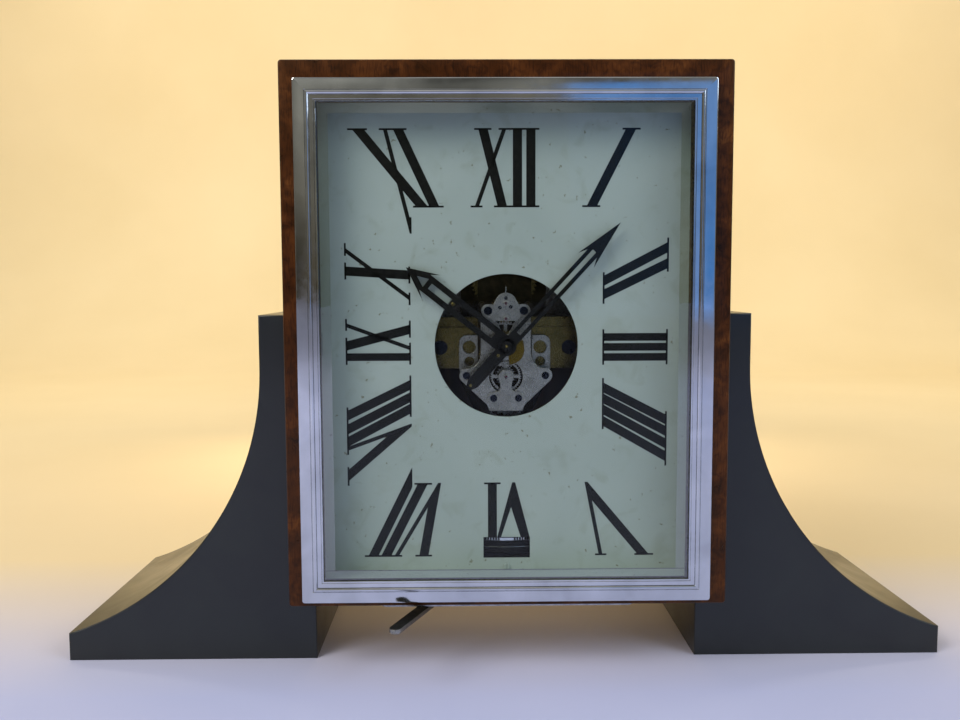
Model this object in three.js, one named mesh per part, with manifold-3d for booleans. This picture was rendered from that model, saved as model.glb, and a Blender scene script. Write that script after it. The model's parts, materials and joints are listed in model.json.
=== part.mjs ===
// Mantel clock: a veneered rectangular case held between two curved brackets, with a glazed chrome door,
// a skeleton-aperture dial and a torsion-pendulum movement wound by a temperature-driven drum.
// Millimetres, +X to the viewer's right, +Y away from the viewer, +Z up.
// Inside the clock group y = 0 is the front face of the wooden case and z = 0 is the table.
import * as THREE from "three";
import { mergeVertices } from "three/addons/utils/BufferGeometryUtils.js";
import Module from "manifold-3d";

const wasm = await Module();
wasm.setup();

// ---------------------------------------------------------------- driving dimensions
const GAP = 0.3; // clearance left between pieces that touch
const BORE_PLAY = 0.15; // radial clearance of a pivot in its bore

const CASE = { w: 225, h: 275, d: 163, z: 37.5, wall: 14, edge: 1.2 };
const BRACKET = { front: 24, footIn: 102.7, tipX: 236.6, tipH: 15, topZ: 186.5, flank: 130.5, arc: 150 };
const BACK = { t: 5, inset: 3, rebate: 5, ventR: 4, ventPitch: 22, ventZ: 250 };

const DOOR = { x: -1.2, z: 171.8, w: 207.6, h: 262.3, back: -0.3, front: -4.8 };
const GLASS = { margin: 9.3, edge: 1.8, bevel: 8, rise: 1.5, back: -1.2 };
const HINGE = { x: 101.8, y: -2.2, dz: 85, r: 1.5, len: 21, pin: 0.7 };

const DIAL = { y: 13.5, t: 1.2, w: 196, h: 246, aperture: 37.1 };
const CENTRE_Z = 170.5; // height of the hand arbor
const SLOT = { w: 24.5, h: 11.3, z: -106.7 };

const HOUR_ANGLE = -51.7;
const MINUTE_ANGLE = 42.7;
const HOUR_HAND = {
  layer: [10.4, 11.4],
  half: 4.8,
  slot: 1.65,
  neck: 51,
  barb: 7.95,
  tip: 65.5,
  bar: 35,
  hub: 5.2,
};
const MINUTE_HAND = {
  layer: [8.2, 9],
  half: 3.2,
  slot: 1.15,
  neck: 62,
  barb: 5.45,
  tip: 85.5,
  tail: 29,
  hub: 4.4,
};
const ARBOR_R = 1; // centre arbor, which carries the minute hand
const PIVOT_R = 0.6;
const BARREL_ARBOR_R = 2;
const PIPE = { rIn: 1.3, rOut: 2.2, front: 9.8 };

// Depths of the movement's layers, front faces first.
const Y = {
  bridge: [18.6, 20],
  frontPlate: [20.3, 21.7],
  wheels1: [22, 22.9],
  wheels2: [23.3, 24.2],
  wheels3: [24.6, 25.6],
  wheels4: [26.2, 27.2],
  escape: [29.5, 30.5],
  mainPlate: [36, 38],
  arms: [38.4, 42.4],
  barrelWheel: [42.8, 45.2],
  backPlate: [56, 58],
  ratchet: [59.2, 60.8],
};

// Wheel train: teeth and modules; every wheel turns about +Y.
const CANNON = { teeth: 10, m: 0.45 };
const MINUTE_WHEEL = { teeth: 30, m: 0.45 };
const MINUTE_PINION = { teeth: 8, m: 0.45 };
const HOUR_WHEEL = { teeth: 32, m: 0.45 };
const CENTRE_WHEEL = { teeth: 50, m: 0.48 };
const THIRD_PINION = { teeth: 20, m: 0.48 };
const THIRD_WHEEL = { teeth: 40, m: 0.4 };
const ESCAPE_PINION = { teeth: 25, m: 0.4 };
const CENTRE_PINION = { teeth: 10, m: 0.55 };
const INTER_WHEEL = { teeth: 40, m: 0.55 };
const INTER_PINION = { teeth: 10, m: 0.72 };
const BARREL_WHEEL = { teeth: 50, m: 0.72 };
const ESCAPE = { teeth: 15, r: 9, root: 7.4, palletDrop: 12.5 };

const pitch = (gear) => (gear.teeth * gear.m) / 2;
const MOTION_ANGLE = -125; // clock angle of the minute wheel from the hand arbor
const AT = {
  hub: [0, 0],
  motion: polar(pitch(CANNON) + pitch(MINUTE_WHEEL), MOTION_ANGLE),
  third: [0, -(pitch(CENTRE_WHEEL) + pitch(THIRD_PINION))],
  inter: [0, pitch(CENTRE_PINION) + pitch(INTER_WHEEL)],
};
AT.escape = [0, AT.third[1] - pitch(THIRD_WHEEL) - pitch(ESCAPE_PINION)];
AT.pallet = [0, AT.escape[1] - ESCAPE.palletDrop];
AT.barrel = [0, AT.inter[1] + pitch(INTER_PINION) + pitch(BARREL_WHEEL)];

const PENDULUM = { y: 72, r: 54, rin: 44, z: [59, 68], hub: 7, spoke: 5, rod: 1.5, rodTop: 125 };
const WIRE = { r: 0.3, top: 180 };
const CHUCK = { r: 2.8, h: 8 };
const ROLLER = { r: 4, h: 2, drop: 14 }; // disc on the rod that meets the fork, below the fork's arbor
const DRUM = {
  r: 52,
  y: [86, 142],
  wall: 2,
  axle: 3,
  sleeve: 6,
  sleeveY: [66, 136],
  flange: 12.5,
  flangeY: [64.2, 66.2],
};
const PAWL_R = DRUM.flange - 2; // distance of the pawl's pivot from the drum's axis
const COLUMN = { x: 62, w: 8, y: 42.7, d: 8, top: 222 };
const LEVER = { pivot: [-13.3, 78.5], tip: [-56, -24], w: 6, z: [33, 35.2], stud: 2.2, eye: 6.5 };
const STUD = { z: [30.8, 45.5], headR: 5, headTop: 32.7 };
const PLUNGER = { z: [37, 58.5], r: 3, headR: 6, headZ: 56.3 };
const BATTEN = { top: 8, bottom: 6.7, d: 6.7, screwTop: 1.8, screwBottom: -1.2 };
const UNDER_PLATE = { w: 132, y: [3, 103], z: [35.9, 37.2] };
const BASE = { w: 150, y: [22, 132], z: [51.8, 54.3] };

// Front-to-back extent of everything, so that the origin lies under the middle of the clock.
const FRONT_Y = LEVER.tip[1] - LEVER.w / 2;
const MID_Y = (FRONT_Y + CASE.d) / 2;

// ---------------------------------------------------------------- materials
function finish(color, roughness, metalness) {
  return new THREE.MeshStandardMaterial({ color, roughness, metalness });
}
const WALNUT = finish(0x4a2010, 0.25, 0);
const PLY = finish(0x7a5534, 0.6, 0);
const LACQUER = finish(0x0b0b0c, 0.3, 0);
const CHROME = finish(0xd8dade, 0.08, 1);
const CRYSTAL = finish(0xd6e6e0, 0.03, 0);
const SILVERED = finish(0xd9d8cf, 0.45, 0.2);
const BLACK = finish(0x101010, 0.35, 0.1);
const NICKEL = finish(0xb9b7b0, 0.28, 1);
const BRASS = finish(0xb08a45, 0.3, 1);
const BLUED = finish(0x1c2230, 0.3, 1);
const STEEL = finish(0x8f9296, 0.35, 1);

// ---------------------------------------------------------------- geometry helpers
function polar(r, degrees) {
  // Clock angle: 0 is up, positive is clockwise seen from the front.
  const a = THREE.MathUtils.degToRad(degrees);
  return [r * Math.sin(a), r * Math.cos(a)];
}

function toSolid(geometry) {
  const plain = geometry.index ? geometry.toNonIndexed() : geometry.clone();
  plain.deleteAttribute("normal");
  plain.deleteAttribute("uv");
  const merged = mergeVertices(plain, 1e-4);
  const vertProperties = merged.attributes.position.array;
  const triVerts = new Uint32Array(merged.index.array);
  return new wasm.Manifold(new wasm.Mesh({ numProp: 3, vertProperties, triVerts }));
}

function toGeometry(solid) {
  const mesh = solid.getMesh();
  const geometry = new THREE.BufferGeometry();
  geometry.setAttribute("position", new THREE.BufferAttribute(new Float32Array(mesh.vertProperties), 3));
  geometry.setIndex(new THREE.BufferAttribute(new Uint32Array(mesh.triVerts), 1));
  return geometry;
}

const join = (...parts) => toGeometry(parts.map(toSolid).reduce((a, b) => a.add(b)));
const cut = (body, ...tools) =>
  toGeometry(tools.map(toSolid).reduce((a, b) => a.subtract(b), toSolid(body)));

// A box given by its lowest and highest corners.
function block([x0, y0, z0], [x1, y1, z1]) {
  const geometry = new THREE.BoxGeometry(x1 - x0, y1 - y0, z1 - z0);
  return geometry.translate((x0 + x1) / 2, (y0 + y1) / 2, (z0 + z1) / 2);
}

// A solid of revolution about an axis parallel to Y through (x, z); the profile is [radius, y] pairs.
function turned(profile, [x, z] = [0, 0], segments = 20) {
  const points = profile.map(([r, y]) => new THREE.Vector2(r, y));
  return new THREE.LatheGeometry(points, segments).translate(x, 0, z);
}

// A plain rod along Y through (x, z), from y0 to y1.
const rodY = (r, y0, y1, at, segments = 20) => turned([[0, y0], [r, y0], [r, y1], [0, y1]], at, segments);

// The tool that drills a round hole through a layer: a rod a little longer than the layer is thick.
const drill = (r, [y0, y1], at, segments = 12) => rodY(r, y0 - 1, y1 + 1, at, segments);

// A tube along Y, closed on itself.
function tubeY(rIn, rOut, y0, y1, at, segments = 24) {
  return turned([[rIn, y0], [rOut, y0], [rOut, y1], [rIn, y1], [rIn, y0]], at, segments);
}

// A solid of revolution about a vertical axis through (x, y); the profile is [radius, z] pairs.
function turnedZ(profile, [x, y] = [0, 0], segments = 24) {
  const points = profile.map(([r, z]) => new THREE.Vector2(r, z));
  return new THREE.LatheGeometry(points, segments).rotateX(Math.PI / 2).translate(x, y, 0);
}

// A plain rod along Z through (x, y), from z0 to z1.
const rodZ = (r, z0, z1, at, segments = 20) => turnedZ([[0, z0], [r, z0], [r, z1], [0, z1]], at, segments);

// A flat piece drawn as seen from the front (x right, z up) and given the depths y0 to y1.
function plate(shape, [y0, y1], arc = 10) {
  const settings = { depth: y1 - y0, bevelEnabled: false, curveSegments: arc };
  const geometry = new THREE.ExtrudeGeometry(shape, settings);
  return geometry.rotateX(Math.PI / 2).translate(0, y1, 0);
}

// A flat piece drawn as seen from above (x, y) and given the heights z0 to z1.
function slab(shape, [z0, z1], arc = 10) {
  const settings = { depth: z1 - z0, bevelEnabled: false, curveSegments: arc };
  const geometry = new THREE.ExtrudeGeometry(shape, settings);
  return geometry.translate(0, 0, z0);
}

function polygon(points) {
  return new THREE.Shape(points.map(([x, y]) => new THREE.Vector2(x, y)));
}

// A rectangle with corners of radius r.
function rectangle(x0, y0, x1, y1, r = 0) {
  if (r === 0) {
    return polygon([[x0, y0], [x1, y0], [x1, y1], [x0, y1]]);
  }
  const shape = new THREE.Shape();
  shape.absarc(x1 - r, y0 + r, r, -Math.PI / 2, 0);
  shape.absarc(x1 - r, y1 - r, r, 0, Math.PI / 2);
  shape.absarc(x0 + r, y1 - r, r, Math.PI / 2, Math.PI);
  shape.absarc(x0 + r, y0 + r, r, Math.PI, 1.5 * Math.PI);
  shape.closePath();
  return shape;
}

function disc(r, [x, y] = [0, 0]) {
  const shape = new THREE.Shape();
  shape.absarc(x, y, r, 0, 2 * Math.PI);
  return shape;
}

function hole(shape, r, at) {
  const path = new THREE.Path();
  path.absarc(at[0], at[1], r, 0, 2 * Math.PI, true);
  shape.holes.push(path);
  return shape;
}

// A bar with round ends of width w between two points.
function bar([ax, ay], [bx, by], w) {
  const a = Math.atan2(by - ay, bx - ax);
  const shape = new THREE.Shape();
  shape.absarc(bx, by, w / 2, a - Math.PI / 2, a + Math.PI / 2);
  shape.absarc(ax, ay, w / 2, a + Math.PI / 2, a + 1.5 * Math.PI);
  shape.closePath();
  return shape;
}

// A mitred rectangular ring or plate: a four-sided lathe whose corners are moved apart.
// The profile is [inset from the outer edge, y] pairs; an inset of null is the middle of the plate.
function framed(profile, { x, z, w, h }) {
  const half = Math.min(w, h) / 2;
  const radius = (inset) => (inset === null ? 0 : (half - inset) * Math.SQRT2);
  const points = profile.map(([inset, y]) => new THREE.Vector2(radius(inset), y));
  const geometry = new THREE.LatheGeometry(points, 4, Math.PI / 4);
  const position = geometry.attributes.position;
  for (let i = 0; i < position.count; i++) {
    const [px, pz] = [position.getX(i), position.getZ(i)];
    const onAxis = Math.hypot(px, pz) < 1e-3;
    position.setX(i, x + (onAxis ? 0 : px + Math.sign(px) * (w / 2 - half)));
    position.setZ(i, z + (onAxis ? 0 : pz + Math.sign(pz) * (h / 2 - half)));
  }
  return geometry;
}

// ---------------------------------------------------------------- gears
const PRESSURE = Math.tan(THREE.MathUtils.degToRad(24));
const TOOTH = { add: 0.78, ded: 1.05, play: 0.2 };

// Outline of a spur gear with one tooth at the given clock angle, and windows between its spokes.
function gear({ teeth, m }, phase, windows = 0) {
  const rp = (teeth * m) / 2;
  const points = [];
  const [root, tip] = [rp - TOOTH.ded * m, rp + TOOTH.add * m];
  const halfAt = (r) => ((Math.PI * m) / 4) * (1 - TOOTH.play) + (rp - r) * PRESSURE;
  for (let i = 0; i < teeth; i++) {
    const a = THREE.MathUtils.degToRad(phase + (360 * i) / teeth);
    for (const [side, r] of [[-1, root], [-1, tip], [1, tip], [1, root]]) {
      const b = a + (side * halfAt(r)) / r;
      points.push([r * Math.sin(b), r * Math.cos(b)]);
    }
  }
  const shape = polygon(points.reverse());
  crossings(shape, rp - 2.6 * m, rp * 0.3, windows, phase);
  return shape;
}

// Cuts the windows between the spokes of a wheel.
function crossings(shape, rOut, rIn, count, phase) {
  const spoke = 0.9; // half the width of a spoke
  for (let i = 0; i < count; i++) {
    const [a0, a1] = [i, i + 1].map((k) => THREE.MathUtils.degToRad(90 - phase - (360 * k) / count));
    const [outer, inner] = [spoke / rOut, spoke / rIn];
    const path = new THREE.Path();
    path.absarc(0, 0, rOut, a0 - outer, a1 + outer, true);
    path.absarc(0, 0, rIn, a1 + inner, a0 - inner, false);
    path.closePath();
    shape.holes.push(path);
  }
}

// Phase of a gear B that meshes with gear A, where B lies at the clock angle beta from A.
function meshed(a, phaseA, b, beta) {
  return beta + 180 + 180 / b.teeth - ((phaseA - beta) * a.teeth) / b.teeth;
}

const PHASE = { cannon: 0, centre: 0, centrePinion: 0 };
PHASE.minuteWheel = meshed(CANNON, PHASE.cannon, MINUTE_WHEEL, MOTION_ANGLE);
PHASE.minutePinion = 0;
PHASE.hourWheel = meshed(MINUTE_PINION, PHASE.minutePinion, HOUR_WHEEL, MOTION_ANGLE + 180);
PHASE.thirdPinion = meshed(CENTRE_WHEEL, PHASE.centre, THIRD_PINION, 180);
PHASE.thirdWheel = 0;
PHASE.escapePinion = meshed(THIRD_WHEEL, PHASE.thirdWheel, ESCAPE_PINION, 180);
PHASE.interWheel = meshed(CENTRE_PINION, PHASE.centrePinion, INTER_WHEEL, 0);
PHASE.interPinion = 0;
PHASE.barrel = meshed(INTER_PINION, PHASE.interPinion, BARREL_WHEEL, 0);

const wheelPlate = (spec, phase, layer, windows) => plate(gear(spec, phase, windows), layer, 3);

// ---------------------------------------------------------------- groups
// Two nested frames: the clock (y = 0 at the case front) and the movement (x, z from the hand arbor).
const part = new THREE.Group();
const clock = new THREE.Group();
const movement = new THREE.Group();
clock.position.y = -MID_Y;
movement.position.z = CENTRE_Z;
part.add(clock);
clock.add(movement);

function add(group, name, geometry, material, at = null) {
  const mesh = new THREE.Mesh(geometry, material);
  mesh.name = name;
  if (at) {
    mesh.position.set(at[0], 0, at[1]);
  }
  group.add(mesh);
  return mesh;
}

// ---------------------------------------------------------------- case
const inner = { x: CASE.w / 2 - CASE.wall, z0: CASE.z + CASE.wall, z1: CASE.z + CASE.h - CASE.wall };
const caseTop = CASE.z + CASE.h;
const hingeHeights = [DOOR.z + HINGE.dz, DOOR.z - HINGE.dz];

function caseShell() {
  const outline = rectangle(-CASE.w / 2, CASE.z, CASE.w / 2, caseTop, CASE.edge);
  outline.holes.push(rectangle(-inner.x, inner.z0, inner.x, inner.z1));
  const rebate = plate(
    rectangle(-inner.x - BACK.rebate, inner.z0 - BACK.rebate, inner.x + BACK.rebate, inner.z1 + BACK.rebate),
    [CASE.d - BACK.inset - BACK.t - GAP, CASE.d + 1],
  );
  const leafSlots = hingeHeights.map((z) =>
    block([HINGE.x - 0.8, -1, z - HINGE.len / 2 - GAP], [HINGE.x + 0.8, 12.4, z + HINGE.len / 2 + GAP]),
  );
  const plungerHole = rodZ(4.5, CASE.z - 1, inner.z0 + 1, [0, PENDULUM.y], 16);
  const studHole = rodZ(LEVER.stud + GAP, CASE.z - 1, CASE.z + 9, LEVER.pivot, 16);
  return cut(plate(outline, [0, CASE.d], 3), rebate, ...leafSlots, plungerHole, studHole);
}

function backPanel() {
  const edge = BACK.rebate - GAP;
  const panel = rectangle(-inner.x - edge, inner.z0 - edge, inner.x + edge, inner.z1 + edge);
  for (const row of [0, 1]) {
    for (let i = -2; i <= 2; i++) {
      hole(panel, BACK.ventR, [i * BACK.ventPitch, BACK.ventZ + row * BACK.ventPitch]);
    }
  }
  const layer = [CASE.d - BACK.inset - BACK.t, CASE.d - BACK.inset];
  return cut(plate(panel, layer, 4), ...backScrews.map((at) => drill(1.6, layer, at)));
}

const backScrews = [-1, 1].flatMap((side) =>
  [inner.z0 - 1.2, inner.z1 + 1.2].map((z) => [side * (inner.x - 20), z]),
);

// Round-headed screw along Y whose head faces the back (side 1) or the front (side -1).
function screwY(headR, headT, shankR, seat, length, side, at = [0, 0]) {
  const [head, end] = [seat + side * headT, seat - side * length];
  const profile = [[0, end], [shankR, end], [shankR, seat], [headR, seat], [headR * 0.8, head], [0, head]];
  return turned(side > 0 ? profile : profile.reverse(), at, 10);
}

add(clock, "case_shell", caseShell(), WALNUT);
add(clock, "back_panel", backPanel(), PLY);
backScrews.forEach((at, i) => {
  const seat = CASE.d - BACK.inset + 0.2;
  add(clock, `back_screw_${i + 1}`, screwY(3.2, 1.6, 1.3, seat, BACK.t, 1, at), BRASS);
});

// Two battens across the inside of the case carry the dial, which one screw at the top and one below hold.
const battens = {
  top: [inner.z1 - GAP - BATTEN.top, inner.z1 - GAP],
  bottom: [inner.z0 + GAP, inner.z0 + GAP + BATTEN.bottom],
};
const dialScrews = {
  top: inner.z1 - GAP - BATTEN.top / 2 + BATTEN.screwTop,
  bottom: inner.z0 + GAP + BATTEN.bottom / 2 + BATTEN.screwBottom,
};
for (const [name, [z0, z1]] of Object.entries(battens)) {
  const layer = [DIAL.y + DIAL.t + GAP, DIAL.y + DIAL.t + GAP + BATTEN.d];
  const batten = block([-inner.x + GAP, layer[0], z0], [inner.x - GAP, layer[1], z1]);
  add(clock, `dial_batten_${name}`, cut(batten, drill(1.6, layer, [0, dialScrews[name]])), PLY);
}

// ---------------------------------------------------------------- brackets
function bracket(side) {
  const b = BRACKET;
  const caseX = CASE.w / 2 + GAP;
  const arcZ = b.tipH + Math.sqrt(b.arc ** 2 - (b.flank + b.arc - b.tipX) ** 2);
  const outline = new THREE.Shape();
  outline.moveTo(b.footIn, 0);
  outline.lineTo(b.tipX, 0);
  outline.lineTo(b.tipX, b.tipH);
  const arcStart = Math.atan2(b.tipH - arcZ, b.tipX - b.flank - b.arc);
  outline.absarc(b.flank + b.arc, arcZ, b.arc, arcStart, -Math.PI, true);
  outline.lineTo(b.flank, b.topZ);
  outline.lineTo(caseX, b.topZ);
  outline.lineTo(caseX, CASE.z - GAP);
  outline.lineTo(b.footIn, CASE.z - GAP);
  outline.closePath();
  const geometry = plate(outline, [b.front, CASE.d], 18);
  return side > 0 ? geometry : mirrored(geometry);
}

// Mirrors a geometry in x and keeps its faces pointing out.
function mirrored(geometry) {
  const flipped = geometry.index ? geometry.toNonIndexed() : geometry.clone();
  flipped.scale(-1, 1, 1);
  const p = flipped.attributes.position;
  for (let i = 0; i < p.count; i += 3) {
    const a = [p.getX(i), p.getY(i), p.getZ(i)];
    p.setXYZ(i, p.getX(i + 1), p.getY(i + 1), p.getZ(i + 1));
    p.setXYZ(i + 1, ...a);
  }
  return flipped;
}

add(clock, "bracket_left", bracket(-1), LACQUER);
add(clock, "bracket_right", bracket(1), LACQUER);

// ---------------------------------------------------------------- door
// Stepped section of the bezel: an outer band, a raised ridge and an inner band that overlaps the glass.
const frameProfile = [
  [0, DOOR.back],
  [9, DOOR.back],
  [9, -3.7],
  [11.35, -3.7],
  [11.35, -4.2],
  [7.5, -4.8],
  [7.1, -5.4],
  [6.7, DOOR.front],
  [0.6, DOOR.front],
  [0, -4.2],
  [0, DOOR.back],
];

function doorFrame() {
  const ring = framed(frameProfile, DOOR);
  const notches = hingeHeights.flatMap((z) => {
    const [z0, z1] = [z - HINGE.len / 2 - GAP, z + HINGE.len / 2 + GAP];
    return [
      rodZ(HINGE.r + GAP, z0, z1, [HINGE.x, HINGE.y], 20),
      block([HINGE.x - 0.9, HINGE.y - 0.9, z0], [HINGE.x + 4, 1, z1]),
    ];
  });
  const knuckles = hingeHeights.flatMap((z) => [
    rodZ(HINGE.r, z - 3.2, z + 3.2, [HINGE.x, HINGE.y], 16),
    block([HINGE.x - 2.4, HINGE.y - 0.8, z - 3.2], [HINGE.x, HINGE.y + 0.8, z + 3.2]),
  ]);
  const bores = hingeHeights.map((z) => rodZ(HINGE.pin + BORE_PLAY, z - 4, z + 4, [HINGE.x, HINGE.y], 16));
  return cut(join(cut(ring, ...notches), ...knuckles), ...bores);
}

function hingeLeaf(z) {
  const [z0, z1] = [z - HINGE.len / 2, z + HINGE.len / 2];
  const leaf = block([HINGE.x - 0.5, HINGE.y + 0.5, z0], [HINGE.x + 0.5, 12, z1]);
  const middle = block([HINGE.x - 3, HINGE.y - 3, z - 3.5], [HINGE.x + 3, -0.2, z + 3.5]);
  const barrel = rodZ(HINGE.r, z0, z1, [HINGE.x, HINGE.y], 16);
  const bore = rodZ(HINGE.pin + BORE_PLAY, z - HINGE.len, z + HINGE.len, [HINGE.x, HINGE.y], 16);
  return cut(join(leaf, barrel), middle, bore);
}

const glassBox = { ...DOOR, w: DOOR.w - 2 * GLASS.margin, h: DOOR.h - 2 * GLASS.margin };
const glassFront = GLASS.back - GLASS.edge;
const glassProfile = [
  [null, glassFront - GLASS.rise],
  [GLASS.bevel, glassFront - GLASS.rise],
  [0, glassFront],
  [0, GLASS.back],
  [null, GLASS.back],
];
const retainerProfile = [[2.4, -0.9], [0, -0.9], [0, -0.3], [2.4, -0.3], [2.4, -0.9]];

add(clock, "door_frame", doorFrame(), CHROME);
add(clock, "door_glass", framed(glassProfile, glassBox), CRYSTAL);
add(clock, "glass_retainer", framed(retainerProfile, glassBox), BRASS);
hingeHeights.forEach((z, i) => {
  const where = ["upper", "lower"][i];
  add(clock, `hinge_${where}`, hingeLeaf(z), STEEL);
  const reach = HINGE.len / 2 - 0.2;
  add(clock, `hinge_pin_${where}`, rodZ(HINGE.pin, z - reach, z + reach, [HINGE.x, HINGE.y], 16), STEEL);
});
const catchAt = [DOOR.x - DOOR.w / 2 + 8.6, DOOR.z];
add(clock, "catch_stud", rodY(1.2, DOOR.back + 0.1, 5.2, catchAt, 12), STEEL);
const catchBlock = block([-inner.x + GAP, 5.5, DOOR.z - 6], [-inner.x + 3.8, 12.6, DOOR.z + 6]);
add(clock, "catch_block", catchBlock, STEEL);

// ---------------------------------------------------------------- dial
function dialPlate() {
  const middle = (inner.z0 + inner.z1) / 2;
  const [halfW, halfH] = [DIAL.w / 2, DIAL.h / 2];
  const sheet = rectangle(-halfW, middle - halfH, halfW, middle + halfH);
  hole(sheet, DIAL.aperture, [0, CENTRE_Z]);
  const slotZ = CENTRE_Z + SLOT.z;
  sheet.holes.push(rectangle(-SLOT.w / 2, slotZ - SLOT.h / 2, SLOT.w / 2, slotZ + SLOT.h / 2));
  const layer = [DIAL.y, DIAL.y + DIAL.t];
  return cut(plate(sheet, layer, 24), ...Object.values(dialScrews).map((z) => drill(1.2, layer, [0, z])));
}

add(clock, "dial_plate", dialPlate(), SILVERED);
for (const [name, z] of Object.entries(dialScrews)) {
  add(clock, `dial_screw_${name}`, screwY(2.3, 1, 0.9, DIAL.y - 0.15, 6, -1, [0, z]), BLUED);
}

// ---------------------------------------------------------------- hands
// A slotted arrow hand pointing up, with its hub at the origin and a bore for its arbor or pipe.
function arrowHand({ layer, half, slot, neck, barb, tip, hub, bar: crossBar, tail }, bore) {
  const notch = 2.2; // the barbs sweep back by twice this
  const side = (s) => [[s * half, neck + notch], [s * barb, neck - notch]];
  const chamfered = [[-half, -tail + half], [-half / 2, -tail], [half / 2, -tail], [half, -tail + half]];
  const foot = tail ? chamfered : [[-half, 0], [half, 0]];
  const arrow = polygon([...foot, ...side(1), [0, tip], ...side(-1).reverse()]);
  const slots = crossBar ? [[hub + 3.5, crossBar - 2], [crossBar + 2, neck - 1]] : [[hub + 4.5, neck + 4]];
  for (const [from, to] of slots) {
    arrow.holes.push(rectangle(-slot, from, slot, to));
  }
  return cut(join(plate(arrow, layer), plate(disc(hub), layer, 12)), drill(bore, layer, AT.hub, 20));
}

const hourHand = add(movement, "hour_hand", arrowHand(HOUR_HAND, PIPE.rOut + GAP), BLACK);
hourHand.rotation.y = THREE.MathUtils.degToRad(HOUR_ANGLE);
const minuteHand = add(movement, "minute_hand", arrowHand(MINUTE_HAND, ARBOR_R + GAP), BLACK);
minuteHand.rotation.y = THREE.MathUtils.degToRad(MINUTE_ANGLE);
const nutBack = MINUTE_HAND.layer[0] - GAP;
const nutFront = nutBack - 1.9;
const nutProfile = [[0, nutFront], [1.6, nutFront], [2.8, nutFront + 0.8], [2.8, nutBack], [0, nutBack]];
add(movement, "hand_nut", turned(nutProfile, AT.hub, 16), BRASS);

// ---------------------------------------------------------------- movement plates
const LOBE = { x: 20.8, z: -16.2, r: 3.8 };
const BRIDGE_SCREW = { x: 9.35, z: 18 };
const COCK_SCREW = { x: 6.6, z: -28.1 };
const EAR_HOLE = { x: 19, z: -3.5 };
const BAR = { half: 13.2, top: 15.5 };
const WINDOW_R = 8.85; // round window over the third wheel
const bothSides = ({ x, z }) => [[-x, z], [x, z]];
const mirrorX = (points) => points.map(([x, z]) => [-x, z]).reverse();
const symmetric = (right) => polygon([...right, ...mirrorX(right)]);

function frontPlate() {
  // Right half of the outline, from the top edge down to the bottom one.
  const flare = new THREE.QuadraticBezierCurve(
    new THREE.Vector2(BAR.half, -4),
    new THREE.Vector2(BAR.half + 0.5, -12),
    new THREE.Vector2(LOBE.x, LOBE.z + LOBE.r),
  );
  const right = [
    [BAR.half, BAR.top],
    ...flare.getPoints(5).map((p) => [p.x, p.y]),
    [LOBE.x, LOBE.z - LOBE.r],
    [9.6, -32.5],
    [9, -35],
  ];
  const lobes = bothSides(LOBE).map((at) => plate(disc(LOBE.r, at), Y.frontPlate, 8));
  // A notch above the hub that shows the centre wheel's teeth.
  const sight = polygon([[-5.4, 13.2], [5.4, 13.2], [1.2, 5.6], [-1.2, 5.6]]);
  const tools = [
    drill(WINDOW_R, Y.frontPlate, AT.third, 28),
    drill(PIPE.rOut + GAP, Y.frontPlate, AT.hub, 20),
    plate(sight, [Y.frontPlate[0] - 1, Y.frontPlate[1] + 1]),
    drill(1.1, Y.frontPlate, AT.inter),
    ...[AT.escape, AT.motion].map((at) => drill(0.8, Y.frontPlate, at)),
    ...bothSides(LOBE).map((at) => drill(1.5, Y.frontPlate, at)),
  ];
  return cut(join(plate(symmetric(right), Y.frontPlate), ...lobes), ...tools);
}

function upperBridge() {
  const body = symmetric([[5, 24], [9.5, 20.8], [11.5, 15.5], [4.6, 12.6]]);
  const lobes = bothSides(BRIDGE_SCREW).map((at) => plate(disc(3.5, at), Y.bridge, 8));
  const crown = plate(disc(5.6, [0, 21.8]), Y.bridge, 12);
  const bores = [
    drill(PIVOT_R + BORE_PLAY, Y.bridge, AT.inter),
    ...bothSides(BRIDGE_SCREW).map((at) => drill(1.2, Y.bridge, at)),
  ];
  return cut(join(plate(body, Y.bridge), crown, ...lobes), ...bores);
}

function lowerCock() {
  const stem = symmetric([[2.6, AT.third[1]], [2.6, -24], [6.4, -25.2], [6.4, -30.9]]);
  const boss = plate(disc(4, AT.third), Y.bridge, 10);
  const lobes = bothSides(COCK_SCREW).map((at) => plate(disc(3.2, at), Y.bridge, 8));
  const bores = [
    drill(PIVOT_R + BORE_PLAY, Y.bridge, AT.third),
    ...bothSides(COCK_SCREW).map((at) => drill(1.2, Y.bridge, at)),
  ];
  return cut(join(plate(stem, Y.bridge), boss, ...lobes), ...bores);
}

// Arbors that run in the main plate; those from the pallets on also run in the back plate.
const pivots = [
  [AT.hub, ARBOR_R],
  [AT.third, PIVOT_R],
  [AT.escape, PIVOT_R],
  [AT.pallet, PIVOT_R],
  [AT.inter, PIVOT_R],
  [AT.barrel, BARREL_ARBOR_R],
];

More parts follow.
